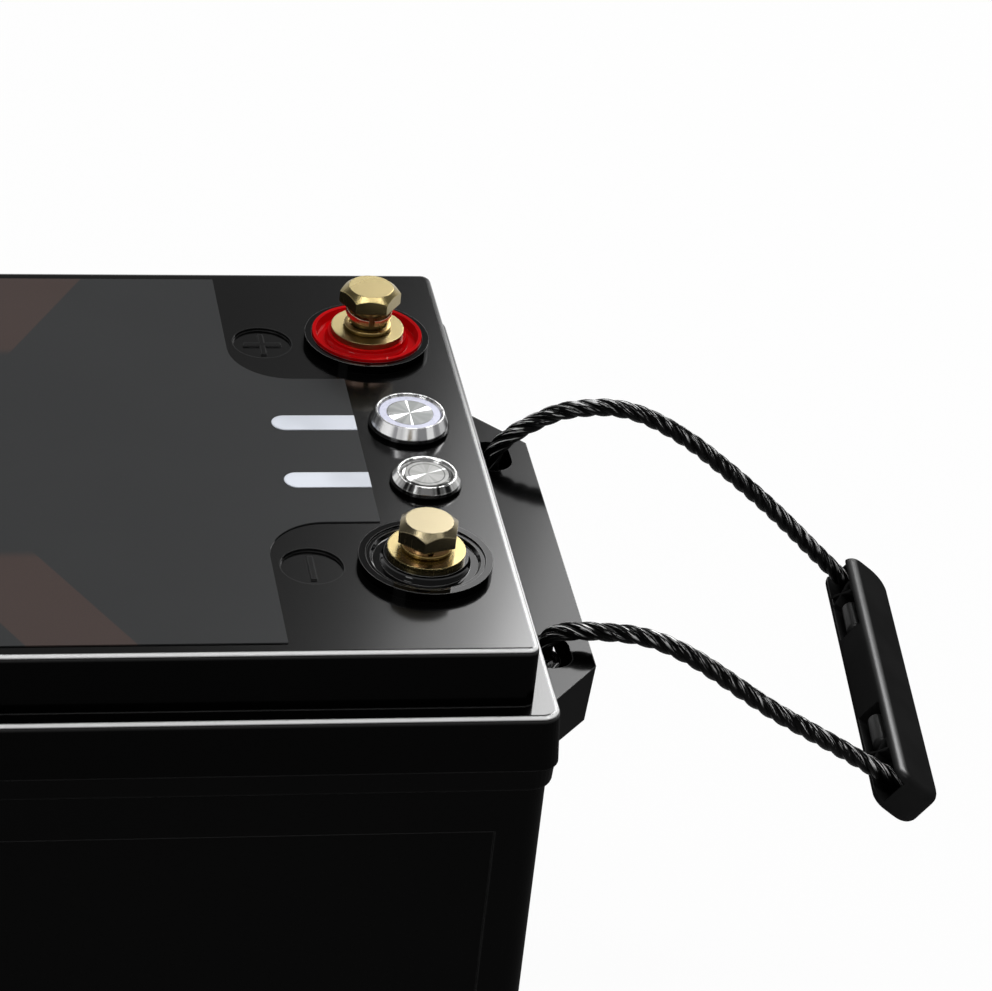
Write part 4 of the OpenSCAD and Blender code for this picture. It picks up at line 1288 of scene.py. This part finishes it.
@dataclass
class Studio:
    """Camera, floor, soft lamps and surroundings."""

    camera_at: Point = (-0.01386, -0.78648, 0.70305)
    camera_turn: Point = (57.83902, -5.57489, -9.30377)
    lens: float = 148.803
    sensor: float = 36.0
    floor_half: float = 6.0
    ambient: float = 0.15
    ceiling: float = 0.15
    shown: float = 0.94

    def camera(self) -> None:
        """Place the camera that the render uses."""
        data = bpy.data.cameras.new("camera")
        data.lens = self.lens
        data.sensor_width = self.sensor
        data.clip_start, data.clip_end = 0.05, 40.0
        camera = bpy.data.objects.new("camera", data)
        camera.location = self.camera_at
        camera.rotation_euler = [math.radians(a) for a in self.camera_turn]
        bpy.context.scene.collection.objects.link(camera)
        bpy.context.scene.camera = camera

    def seen_by(self, w: Wiring) -> Out:
        """Pick out the rays that show the background: camera, glossy and transmission rays.

        Args:
            w: The wiring of the floor or the world.

        Returns:
            1 for those rays and 0 for the others.
        """
        path = w.add("ShaderNodeLightPath").outputs
        gloss = w.maths("MAXIMUM", path["Is Glossy Ray"], path["Is Transmission Ray"])
        return w.maths("MAXIMUM", path["Is Camera Ray"], gloss)

    def floor(self) -> None:
        """A plain pale floor that keeps the pack's shadow."""
        low = CAD_BOX[0][2]
        h = self.floor_half
        mesh = bpy.data.meshes.new("floor")
        mesh.from_pydata([(-h, -h, low), (h, -h, low), (h, h, low), (-h, h, low)], [], [(0, 1, 2, 3)])
        material = bpy.data.materials.new("pale_floor")
        material.use_nodes = True
        material.node_tree.nodes.clear()
        w = Wiring(material.node_tree)
        matt = w.add("ShaderNodeBsdfDiffuse", {"Color": grey(0.9)})
        shown = w.add("ShaderNodeEmission", {"Color": grey(1.0), "Strength": 1.0})
        share = w.product(self.seen_by(w), self.shown)
        blend = w.add("ShaderNodeMixShader", {0: share, 1: matt.outputs[0], 2: shown.outputs[0]})
        w.add("ShaderNodeOutputMaterial", {"Surface": blend.outputs[0]})
        mesh.materials.append(material)
        link_mesh("floor", mesh)

    def world(self) -> None:
        """White surroundings for the eye, a white wall under a dim ceiling for gloss, dimmer as a light."""
        world = bpy.data.worlds.new("surroundings")
        world.use_nodes = True
        world.node_tree.nodes.clear()
        w = Wiring(world.node_tree)
        path = w.add("ShaderNodeLightPath").outputs
        height = w.split(w.add("ShaderNodeTexCoord").outputs["Generated"])[2]
        gloss = w.span(height, 0.12, 0.48, 1.0, self.ceiling)
        strength = w.span(self.seen_by(w), 0.0, 1.0, self.ambient, gloss, smooth=False)
        strength = w.maths("MAXIMUM", strength, path["Is Camera Ray"])
        back = w.add("ShaderNodeBackground", {"Color": grey(1.0), "Strength": strength})
        w.add("ShaderNodeOutputWorld", {"Surface": back.outputs[0]})
        bpy.context.scene.world = world

    def softbox(self, name: str, at: Point, aim: Point, size: tuple[float, float], power: float,
                gloss_only: bool = False) -> None:
        """Hang one rectangular soft lamp.

        Args:
            name: Its name.
            at: Where it hangs.
            aim: What it points at.
            size: Its width and height in metres.
            power: Its power in watts.
            gloss_only: Whether only gloss shows it, as a card that lights nothing.
        """
        data = bpy.data.lights.new(name, "AREA")
        data.shape = "RECTANGLE"
        data.size, data.size_y = size
        data.energy = power
        lamp = bpy.data.objects.new(name, data)
        lamp.location = at
        lamp.visible_diffuse = not gloss_only
        lamp.rotation_euler = (Vector(aim) - Vector(at)).to_track_quat("-Z", "Y").to_euler()
        bpy.context.scene.collection.objects.link(lamp)

    def lamps(self) -> None:
        """A key behind on the right, a strip overhead and a fill at the front left."""
        middle, key_at = (0.1, 0.0, 0.2), (1.45, 2.2, 2.1)
        self.softbox("key_softbox", key_at, middle, (1.45, 1.3), 60.0)
        self.softbox("key_glare", key_at, middle, (1.57, 1.3), 66.0, gloss_only=True)
        self.softbox("key_halo", key_at, middle, (1.8, 1.3), 15.0, gloss_only=True)
        self.softbox("overhead_strip", (0.1, -0.35, 2.3), middle, (2.6, 0.24), 23.0)
        self.softbox("front_fill", (-2.2, -2.0, 1.8), middle, (1.0, 1.0), 10.0)

    def build(self) -> None:
        """Everything but the camera, which is placed first."""
        self.floor()
        self.world()
        self.lamps()


@dataclass(frozen=True)
class KnotSize:
    """A knot's scale, how tall its turns are for it, and the radius of its rope."""

    scale: float
    rise: float
    strand: float


@dataclass
class RopeHandles:
    """Two handles: a grip on two rope legs at each end."""

    palette: Palette
    leave_at: Point = (0.1713, 0.0387, 0.184)
    rope: float = 0.0044
    strands: int = 4
    lay: float = 0.0178
    bend_over: tuple[float, float] = (0.08, 0.0)
    groove: float = 0.3
    back: tuple[Point, ...] = (
        (6.3, 38.7, -2.7), (6.4, 38.7, 1.4), (8.3, 39, 5), (12, 39.7, 8), (16.8, 40.6, 10.4), (22.5, 41.5, 12.5),
        (29, 42.2, 13.2), (36, 42.9, 12.8), (43, 43.3, 10.8), (50.5, 43.7, 6.8), (58, 44.1, 1.6), (65, 44.5, -4.2),
        (72, 44.8, -10.3), (79, 45.1, -16.7), (85.5, 45.3, -23), (92, 45.4, -29.6), (97, 45.5, -34.6),
        (100.6, 45.3, -38.1), (103.4, 44.9, -40.7), (105.8, 44.6, -42.5))
    front: tuple[Point, ...] = (
        (6.1, -38.7, -2.7), (6.3, -38.7, 0.6), (8.9, -38.9, 3.2), (13.5, -39.4, 4), (19, -40.2, 4.2),
        (25.5, -41.1, 4), (32, -41.9, 2.5), (39, -42.6, -0.8), (46, -43, -5.4), (53.5, -43.4, -10.8),
        (61, -43.8, -16), (68.5, -44.1, -20.6), (76, -44.2, -25.2), (83, -44.1, -29.8), (89.4, -44, -34),
        (92.2, -44.3, -36), (94.6, -44.6, -37.7))
    end_wall: float = 0.165
    rim: float = 0.184
    finish: LaidRope = LaidRope("black_laid_rope", grey(0.0008), 0.3, "rope_black")
    plastic: Moulded = Moulded("grip_plastic", grey(0.013), 0.38, "grip_plastic", specular=0.0, top_gloss=0.65,
                               side_gloss=0.01, gloss_from=0.84, gloss_to=0.98, coat_roughness=0.3, grain=1500.0,
                               depth=0.012 * MM, wear=0.03, dust=0.006)
    bar_plastic: Moulded = Moulded("grip_bar_plastic", grey(0.022), 0.36, "bar_plastic", specular=0.02, top_gloss=0.3,
                                   side_gloss=0.02, gloss_from=0.3, gloss_to=0.95, coat_roughness=0.3, grain=1500.0,
                                   depth=0.01 * MM, wear=0.12)
    grip_at: Point = (0.2654, 0.0, 0.1436)
    grip_turn: Point = (-7.0, -3.0, 36.7)
    grip_half: Point = (7.0 * MM, 52.0 * MM, 5.3 * MM)
    grip_corners: tuple[float, float] = (4.5 * MM, 6.5 * MM)
    grip_ease: float = 2.6 * MM
    pocket_w: float = 6.6 * MM
    pocket_l: float = 13.0 * MM
    pocket_depth: float = 10.0 * MM
    rope_pocket_y: float = 45.0 * MM
    window_y: float = 26.0 * MM
    window_l: float = 16.0 * MM
    cell_depth: float = 4.0 * MM
    bar_d: float = 4.6 * MM
    bar_l: float = 12.0 * MM
    bar_ease: float = 1.3 * MM
    bar_gap: float = 0.2 * MM
    rib_half: float = 0.35 * MM
    rib_foot: float = 0.7 * MM
    cell_inset: float = 0.3 * MM
    cell_reach: float = 0.2 * MM
    spacing: float = 0.9 * MM
    knot_r: float = 5.4 * MM
    pocket_knot: KnotSize = KnotSize(0.52 * MM, 0.9, 1.05 * MM)
    ear_knot: KnotSize = KnotSize(1.22 * MM, 2.3, 1.7 * MM)

    def route(self, points: Sequence[Point], side: int) -> list[Point]:
        """A leg's points in the frame.

        Args:
            points: The leg, in millimetres from the end wall and the rim.
            side: 1 for the terminal end, -1 for the other.

        Returns:
            The points in metres.
        """
        return [(side * (self.end_wall + x * MM), y * MM, self.rim + z * MM) for x, y, z in points]

    def leg(self, tree: Tree, name: str, points: Sequence[Point], side: int, handle: str, node: str) -> None:
        """Args:
            tree: The rope tree.
            name: The piece's name.
            points: Its route.
            side: 1 or -1, as for route.
            handle: The handle's body; not used.
            node: The CAD node that it stands for.
        """
        path = smooth_route(self.route(points, side), self.spacing)
        piece = grown(name, polyline(name + "_line", path), tree, Radius=self.rope / 2, Lay=side * self.lay,
                      Groove=self.groove, Strands=self.strands, Finish=self.palette.material(self.finish))
        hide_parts(node)
        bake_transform(piece)

    def ropes(self) -> None:
        """Lay the four legs."""
        tree = rope_tree()
        for label, side in ENDS:
            for leg, points in (("back", self.back), ("front", self.front)):
                self.leg(tree, f"{label}_laid_rope_{leg}", points, side, f"{label}_handle", f"{label}_rope_{leg}")

    def grip_place(self, side: int) -> Matrix:
        """Where a grip's own frame lies.

        Args:
            side: 1 for the terminal end, -1 for the mirrored one.

        Returns:
            The place as a matrix.
        """
        yaw, roll, droop = (math.radians(a) for a in self.grip_turn)
        turn = Matrix.Rotation(yaw, 4, "Z") @ Matrix.Rotation(roll, 4, "X") @ Matrix.Rotation(droop, 4, "Y")
        mirror = Matrix.Diagonal((side, 1.0, 1.0, 1.0))
        return mirror @ Matrix.Translation(self.grip_at) @ turn

    def grip(self, label: str, side: int) -> None:
        """Mould one grip: a rounded bar with rope pockets, windows and ribbed walls between them.

        Args:
            label: The handle's name.
            side: 1 or -1, as for grip_place.
        """
        half_x, half_y, half_z = self.grip_half
        body = piece_of(f"{label}_moulded_grip",
                        [slab(half_x, half_y, half_z, self.grip_corners, self.grip_ease)])
        width = self.pocket_w / 2
        pockets, cells = [], []
        for end in (-1, 1):
            for middle, length, deep in ((self.rope_pocket_y, self.pocket_l, self.pocket_depth),
                                         (self.window_y, self.window_l, self.pocket_depth / 2)):
                hole = slab(deep / 2 + MM, length / 2, width, (0.4 * MM, 0.4 * MM))
                hole.transform(Matrix.Translation((deep / 2 - MM - half_x, end * middle, 0.0)))
                pockets.append(hole)
            low = self.window_y + self.window_l / 2
            high = self.rope_pocket_y - self.pocket_l / 2
            mid, rise = (low + high) / 2, (high - low) / 2
            for across in (1, -1):
                out, tall = across * (width - self.cell_inset), rise - self.rib_foot
                corners = [(across * self.rib_half, mid), (out, mid + tall), (out, mid - tall)]
                cells.append(self.cell(corners, end, half_x))
            for up in (1, -1):
                base = mid + up * (rise + self.cell_reach)
                corners = [(0.0, mid + up * self.rib_half), (width - MM, base), (MM - width, base)]
                cells.append(self.cell(corners, end, half_x))
        carve(body, [piece_of("pockets", pockets), piece_of("cells", cells)])
        body.data.transform(self.grip_place(side))
        if side < 0:
            body.data.flip_normals()
        self.palette.paint(self.plastic, body)
        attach(body, f"{label}_handle")
        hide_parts(f"{label}_grip")
        LOG.info("%s grip: %d faces", label, len(body.data.polygons))

    def cell(self, corners: Sequence[tuple[float, float]], end: int, half_x: float) -> Shape:
        """A three-cornered cutter for the ribbed wall.

        Args:
            corners: Its corners across and along the grip.
            end: 1 or -1, the end of the grip.
            half_x: Half the grip's depth.

        Returns:
            The open bmesh.
        """
        shape = bmesh.new()
        rings = [[shape.verts.new((x, end * y, z)) for z, y in corners]
                 for x in (-half_x - MM, -half_x + self.cell_depth)]
        shape.faces.new(rings[0])
        shape.faces.new(rings[1][::-1])
        wall(shape, *rings)
        bmesh.ops.recalc_face_normals(shape, faces=shape.faces)
        return shape

    def bars(self, label: str, side: int) -> None:
        """Lay the two round-ended bars in a grip's windows.

        Args:
            label: The handle's name.
            side: 1 or -1, as for grip_place.
        """
        shapes = []
        radius, half = self.bar_d / 2, self.bar_l / 2
        for end in (-1, 1):
            rim = eased_rim(radius, half, self.bar_ease, 15)
            pin = 0.02 * MM
            bar = turned(rim + [(pin, half), (pin, -half)] + [(r, -z) for r, z in rim[::-1]], 36)
            deep = self.pocket_depth / 2 - radius - self.bar_gap
            bar.transform(Matrix.Translation((deep - self.grip_half[0], end * self.window_y, 0.0))
                          @ Matrix.Rotation(math.pi / 2, 4, "X"))
            shapes.append(bar)
        piece = piece_of(f"{label}_round_bars", shapes, self.grip_place(side))
        self.palette.paint(self.bar_plastic, piece)
        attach(piece, f"{label}_handle")
        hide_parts(f"{label}_grip_bars")

    def knots(self, tree: Tree) -> None:
        """Tie the knots under the ears and in the grips' pockets.

        Args:
            tree: The rope tree.
        """
        for label, side in ENDS:
            spots = [self.grip_place(side) @ Matrix.Translation((MM, end * self.rope_pocket_y, 0.0))
                     @ Matrix.Rotation(math.pi / 2, 4, "Y") for end in (-1, 1)]
            self.tie(tree, f"{label}_pocket_knots", spots, self.pocket_knot, f"{label}_handle", f"{label}_grip_knots")
        low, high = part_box("ear_knots")
        reach = high[0] - self.knot_r
        spots = [Matrix.Translation((sx * reach, sy * (high[1] - self.knot_r), (low[2] + high[2]) / 2))
                 for sx in (-1, 1) for sy in (-1, 1)]
        self.tie(tree, "ear_rope_knots", spots, self.ear_knot, "battery", "ear_knots")

    def tie(self, tree: Tree, name: str, spots: Sequence[Matrix], size: KnotSize, body: str,
            node: str, steps: int = 90) -> None:
        """Tie one knot at each place and join them into a piece.

        Args:
            tree: The rope tree.
            name: The piece's name.
            spots: Where the knots sit.
            size: The knot's size.
            body: The body it rides on.
            node: The CAD node it stands for.
            steps: Steps round the knot.
        """
        shapes = []
        k, turns = size.scale, [math.tau * step / steps for step in range(steps + 1)]
        for spot in spots:
            loop = [Vector((k * (math.sin(t) + 2 * math.sin(2 * t)), k * (math.cos(t) - 2 * math.cos(2 * t)),
                            -k * size.rise * math.sin(3 * t))) for t in turns]
            knot = grown(name + "_turn", polyline(name + "_line", loop), tree, Radius=size.strand, Lay=self.lay / 2,
                         Groove=self.groove, Strands=self.strands, Finish=self.palette.material(self.finish))
            knot.data.transform(spot)
            shapes.append(knot)
        with bpy.context.temp_override(active_object=shapes[0], selected_editable_objects=shapes):
            bpy.ops.object.join()
        piece = shapes[0]
        piece.name = name
        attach(piece, body)
        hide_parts(node)

    def dress(self) -> None:
        """Mould the grips, lay their bars and tie the knots."""
        for label, side in ENDS:
            self.grip(label, side)
            self.bars(label, side)
        self.knots(rope_tree())


@dataclass
class Casing:
    """Tub, lid, their bead of adhesive, and the label."""

    palette: Palette
    # Both case finishes paint a faint highlight on edges that face up.
    tub: Moulded = Moulded("tub_gloss", grey(0.0012), 0.25, "case_gloss", specular=0.0, top_gloss=0.33,
                           side_gloss=0.05, grain=500.0, wear=0.06, top_wear=0.12, evenness=0.9, worn=grey(0.5),
                           dust=0.008)
    # The lid paints highlight lines along the platform's and the flange's top rims.
    lid: Moulded = Moulded("lid_gloss", grey(0.0012), 0.22, "case_gloss", specular=0.0, top_gloss=0.9,
                           side_gloss=0.03, grain=500.0, wear=0.04, top_wear=0.1, evenness=0.9, worn=grey(0.5),
                           rims=((0.1602, 0.0815, 0.0026, 0.212), (0.1658, 0.086, 0.0044, 0.1974)), dust=0.008)
    bead: Moulded = Moulded("adhesive_bead", grey(0.01), 0.4, "adhesive", specular=0.3, grain=300.0, wear=0.1)
    film: LabelFilm = LabelFilm("label_film", (0.044, 0.045, 0.046, 1.0), 0.35, "label_film")

    def dress(self) -> None:
        """Finish the case's own nodes."""
        self.palette.dress(self.tub, "case_tub")
        self.palette.dress(self.lid, "lid_cover")
        self.palette.dress(self.bead, "lid_seal")
        self.palette.dress(self.film, "top_label")


@dataclass
class Terminals:
    """Collars, dishes, posts, washers and bolts."""

    palette: Palette
    brass: Colour = (0.31, 0.25, 0.115, 1.0)
    bright_brass: Colour = (0.235, 0.2, 0.125, 1.0)
    copper: Colour = (0.9, 0.6, 0.45, 1.0)
    washer_d: float = 11.4 * MM
    washer_bore: float = 8.4 * MM
    washer_ease: float = 0.35 * MM
    split_foot: float = 0.2231
    split_keep: float = 0.41

    def copper_finish(self, side: str, axis: Point) -> Metal:
        """The rose-copper plating of a spring washer.

        Args:
            side: The terminal's name.
            axis: A point on its axis.

        Returns:
            The finish.
        """
        return Metal(f"{side}_copper_plated", self.copper, 0.22, "copper_plated", made=Maker.TURNED, centre=axis,
                     tint=(0.5, 0.24, 0.15, 1.0), painted_fans=0.3, highlight_colour=(0.95, 0.78, 0.7, 1.0), painted_side_shade=0.1)

    def dress(self) -> None:
        """Finish each terminal piece by its own axis."""
        # Tarnish colour, also the colour of the painted shade on steep sides.
        tarnish = (0.1, 0.075, 0.02, 1.0)
        for side, tone in (("positive", self.brass), ("negative", self.bright_brass)):
            axis = top_middle(f"{side}_post")
            bolt = Metal(f"{side}_brass_turned", tone, 0.32, "brass", made=Maker.TURNED, centre=axis, tint=tarnish,
                         painted_side_shade=0.6)
            post = Metal(f"{side}_post_brass", self.brass, 0.3, "brass", made=Maker.TURNED, centre=axis,
                         tint=tarnish, painted_side_shade=0.3, rings=2500.0, depth=0.001 * MM)
            # Painted shade: the flat washer's brass is darker, for the shadow under the bolt head.
            washer = Metal(f"{side}_washer_brass", (0.3, 0.21, 0.08, 1.0), 0.3, "brass", made=Maker.TURNED,
                           centre=axis, tint=(0.08, 0.05, 0.015, 1.0), painted_side_shade=0.6, rings=2500.0, depth=0.001 * MM)
            self.palette.dress(bolt, f"{side}_bolt")
            self.palette.paint(post, smoothed(f"{side}_post", "battery"))
            self.flat_washer(side, axis, washer)
            if side == "negative":
                self.palette.dress(self.copper_finish(side, axis), f"{side}_spring_washer")
        self.spring_washer()
        # The terminal black paints a strong highlight on edges that face up, such as the collars' rims.
        black = Moulded("terminal_black", grey(0.0005), 0.1, "terminal_black", specular=0.0, top_gloss=1.0,
                        side_gloss=0.15, coat_roughness=0.035, grain=700.0, depth=0.001 * MM, wear=0.05, top_wear=0.5,
                        evenness=0.9, worn=grey(0.5), wear_width=0.25 * MM, dust=0.003)
        red = Moulded("terminal_red", (0.56, 0.001, 0.003, 1.0), 0.08, "terminal_red", specular=0.0, top_gloss=0.35,
                      side_gloss=0.15, coat_roughness=0.03, grain=700.0, depth=0.001 * MM, wear=0.1,
                      worn=(0.9, 0.3, 0.3, 1.0), wear_width=0.25 * MM, dust=0.003)
        for node_name in ("positive_collar", "negative_collar", "negative_dish"):
            self.palette.paint(black, smoothed(node_name, "battery"))
        self.palette.paint(red, smoothed("positive_dish", "battery"))
        self.palette.dress(Metal("post_nut_brass", self.brass, 0.3), "post_nuts")

    def flat_washer(self, side: str, axis: Point, finish: Finish) -> None:
        """Turn the flat washer under a spring washer, with its rim rounded.

        Args:
            side: The terminal's name.
            axis: A point on the terminal's axis.
            finish: The washer's finish.
        """
        low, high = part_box(f"{side}_flat_washer")
        outer, inner, thick, ease = self.washer_d / 2, self.washer_bore / 2, high[2] - low[2], self.washer_ease
        profile = [(inner, 0.0), (outer - ease, 0.0), (outer, ease), *eased_rim(outer, thick, ease, 18),
                   (inner + ease, thick), (inner, thick - ease)]
        piece = piece_of(f"{side}_plain_washer", [turned(profile)], Matrix.Translation((axis[0], axis[1], low[2])))
        self.palette.paint(finish, piece)
        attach(piece, "battery")
        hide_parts(f"{side}_flat_washer")

    def spring_washer(self) -> None:
        """Round the positive spring washer and attach it to its washer carrier."""
        middle = top_middle("positive_spring_washer")
        piece = merged_copy("positive_spring_washer", "positive_split_washer")
        shade_below(piece.data, 30.0)
        self.palette.paint(self.copper_finish("positive", middle), piece)
        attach(piece, "positive_washer_carrier")
        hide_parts("positive_spring_washer")
        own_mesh(piece)


@dataclass(frozen=True)
class SteelLook:
    """Steel of one button: tones, and painted wedge shapes as angle and half width in degrees with a share, a
    highlight where the share is positive and a dark reflection where it is negative.
    """

    cap: Colour
    bezel: Colour
    cap_painted_wedges: tuple[tuple[float, float, float], ...]
    bezel_wedges: tuple[tuple[float, float, float], ...]
    # Radius of the painted dark ring of groove shade on the cap, 0 for none.
    groove: float = 0.0


@dataclass
class Buttons:
    """The alarm button and the power switch."""

    palette: Palette
    steel: Colour = (0.36, 0.37, 0.36, 1.0)
    alarm_look: SteelLook = SteelLook(
        (0.11, 0.114, 0.112, 1.0), (0.3, 0.3, 0.31, 1.0),
        ((24, 13, 0.95), (206, 15, 0.95), (92, 4, 0.85), (268, 4, 0.85)),
        ((262, 12, 0.95), (222, 16, 0.85), (296, 8, 0.8), (84, 14, 0.95), (112, 9, 0.9), (58, 9, 0.7), (18, 12, 0.5)))
    switch_look: SteelLook = SteelLook(
        (0.13, 0.131, 0.126, 1.0), (0.6, 0.6, 0.585, 1.0),
        ((206, 13, 0.9), (24, 5, 0.4)),
        ((262, 14, 0.9), (90, 30, 0.8), (234, 7, -0.97), (222, 5, -0.9), (283, 4, -0.97), (303, 8, -0.97)), 4.1 * MM)
    wire: Metal = Metal("spring_wire", (0.55, 0.55, 0.56, 1.0), 0.25, "spring_steel", made=Maker.DRAWN)
    wire_r: float = 0.3 * MM
    coils: float = 6.0

    def dress(self) -> None:
        """Finish bezels, caps, seals and blocks."""
        # Caps and bezels paint highlights and dark reflections by the angle round their axis, and the switch cap
        # paints the shade of its groove.
        for label, look, offset in (("alarm", self.alarm_look, (0.3, 1.7, 0.0)),
                                    ("switch", self.switch_look, (2.1, 0.4, 0.0))):
            axis = top_middle(f"{label}_cap")
            spun = Metal(f"{label}_spun_steel", look.cap, 0.3, "button_steel", made=Maker.TURNED, centre=axis,
                         tint=look.cap, painted_fans=0.05, fan_offset=offset, painted_wedges=look.cap_painted_wedges, groove=look.groove)
            rim = Metal(f"{label}_bezel_steel", look.bezel, 0.16, "button_steel", made=Maker.TURNED, centre=axis,
                        tint=(0.1, 0.1, 0.1, 1.0), painted_fans=0.45, fan_scale=5.0, fan_offset=offset, painted_side_shade=0.3,
                        painted_wedges=look.bezel_wedges)
            self.palette.dress(spun, f"{label}_cap")
            self.palette.paint(rim, smoothed(f"{label}_bezel", "battery"))
        rubber = Moulded("seal_rubber", grey(0.0008), 0.25, "seal_rubber", specular=0.0, top_gloss=0.8,
                         side_gloss=0.1, coat_roughness=0.06, grain=800.0, depth=0.002 * MM, wear=0.05, dust=0.003)
        block = Moulded("switch_block", grey(0.02), 0.45, "block_black")
        for node_name in ("alarm_seal", "switch_seal"):
            self.palette.paint(rubber, smoothed(node_name, "battery"))
        self.palette.dress(block, "alarm_block", "switch_block")
        self.palette.dress(Diffuser("light_ring", (0.5, 0.51, 0.66, 1.0), 0.25, "light_ring"), "alarm_light_ring")
        self.palette.dress(Metal("barrel_steel", self.steel, 0.3, made=Maker.TURNED), "barrel_nuts")
        tag = Moulded("tag_white", (0.76, 0.8, 0.88, 1.0), 0.4, "tag_white", specular=0.1, grain=1200.0, wear=0.1,
                      worn=grey(0.7), dust=0.02, scratches=0.1)
        self.palette.dress(tag, "button_tags")

    def springs(self) -> None:
        """Wind the return springs."""
        tree = spring_tree()
        for label, joint, keep in (("alarm", "alarm_press", 0.867), ("switch", "switch_press", 0.851)):
            low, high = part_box(f"{label}_spring")
            wire = self.wire_r
            x, y, _ = top_middle(f"{label}_spring")
            piece = grown(f"{label}_return_spring", polyline(f"{label}_line", [Vector((0, 0, 0)), Vector((0, 0, MM))]),
                          tree, Coil_Radius=(high[0] - low[0]) / 2 - wire, Wire_Radius=wire,
                          Height=high[2] - low[2] - 2 * wire, Turns=self.coils,
                          Finish=self.palette.material(self.wire))
            piece.data.transform(Matrix.Translation((x, y, low[2] + wire)))
            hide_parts(f"{label}_spring")
            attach(piece, "battery")
            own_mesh(piece)


@dataclass
class Inside:
    """Cells, busbars, foam, boards and leads."""

    palette: Palette

    def dress(self) -> None:
        """Finish everything under the lid."""
        tracks = (0.02, 0.25, 0.1, 1.0)
        for finish, *names in (
                (Moulded("cell_can", (0.02, 0.09, 0.22, 1.0), 0.3, "cell_can", grain=500.0, wear=0.2),
                 "cell_1", "cell_2", "cell_3", "cell_4"),
                (Board("spacer_board", (0.5, 0.45, 0.25, 1.0), 0.4, "epoxy_board"), "cell_spacers", "mounting_board"),
                (Board("circuit_board", (0.01, 0.12, 0.05, 1.0), 0.35, "circuit_green", track=tracks), "bms_board"),
                (Metal("busbar_copper", (0.8, 0.42, 0.28, 1.0), 0.28, "tinned_lug", made=Maker.DRAWN), "busbars"),
                (Metal("tinned_lug", (0.75, 0.74, 0.72, 1.0), 0.28, "tinned_lug"),
                 "lead_lugs", "cell_nuts", "bms_screws"),
                (Foam("foam", grey(0.03), 0.95, "foam"), "base_foam", "end_foam"),
                (Moulded("transistor_body", grey(0.015), 0.4, "block_black"), "bms_transistors"),
                (Metal("heat_sink", (0.6, 0.61, 0.62, 1.0), 0.35, "aluminium", made=Maker.DRAWN), "bms_heat_sink"),
                (Moulded("lead_red", (0.5, 0.01, 0.01, 1.0), 0.35, "lead_red"), "positive_lead"),
                (Moulded("lead_black", grey(0.01), 0.35, "lead_black"), "cell_negative_lead",
                 "output_negative_lead")):
            self.palette.dress(finish, *names)


def main() -> None:
    """Build the camera and ropes, then the rest."""
    logging.basicConfig(level=logging.INFO, format="%(message)s")
    studio = Studio()
    palette = Palette()
    studio.camera()
    handles = RopeHandles(palette)
    handles.ropes()
    handles.dress()
    LOG.info("handles: done")
    Casing(palette).dress()
    Terminals(palette).dress()
    buttons = Buttons(palette)
    buttons.dress()
    buttons.springs()
    Inside(palette).dress()
    LOG.info("case, terminals, buttons and inside: done")
    studio.build()
    bpy.context.scene.view_settings.view_transform = "Standard"


if __name__ == "__main__":
    main()
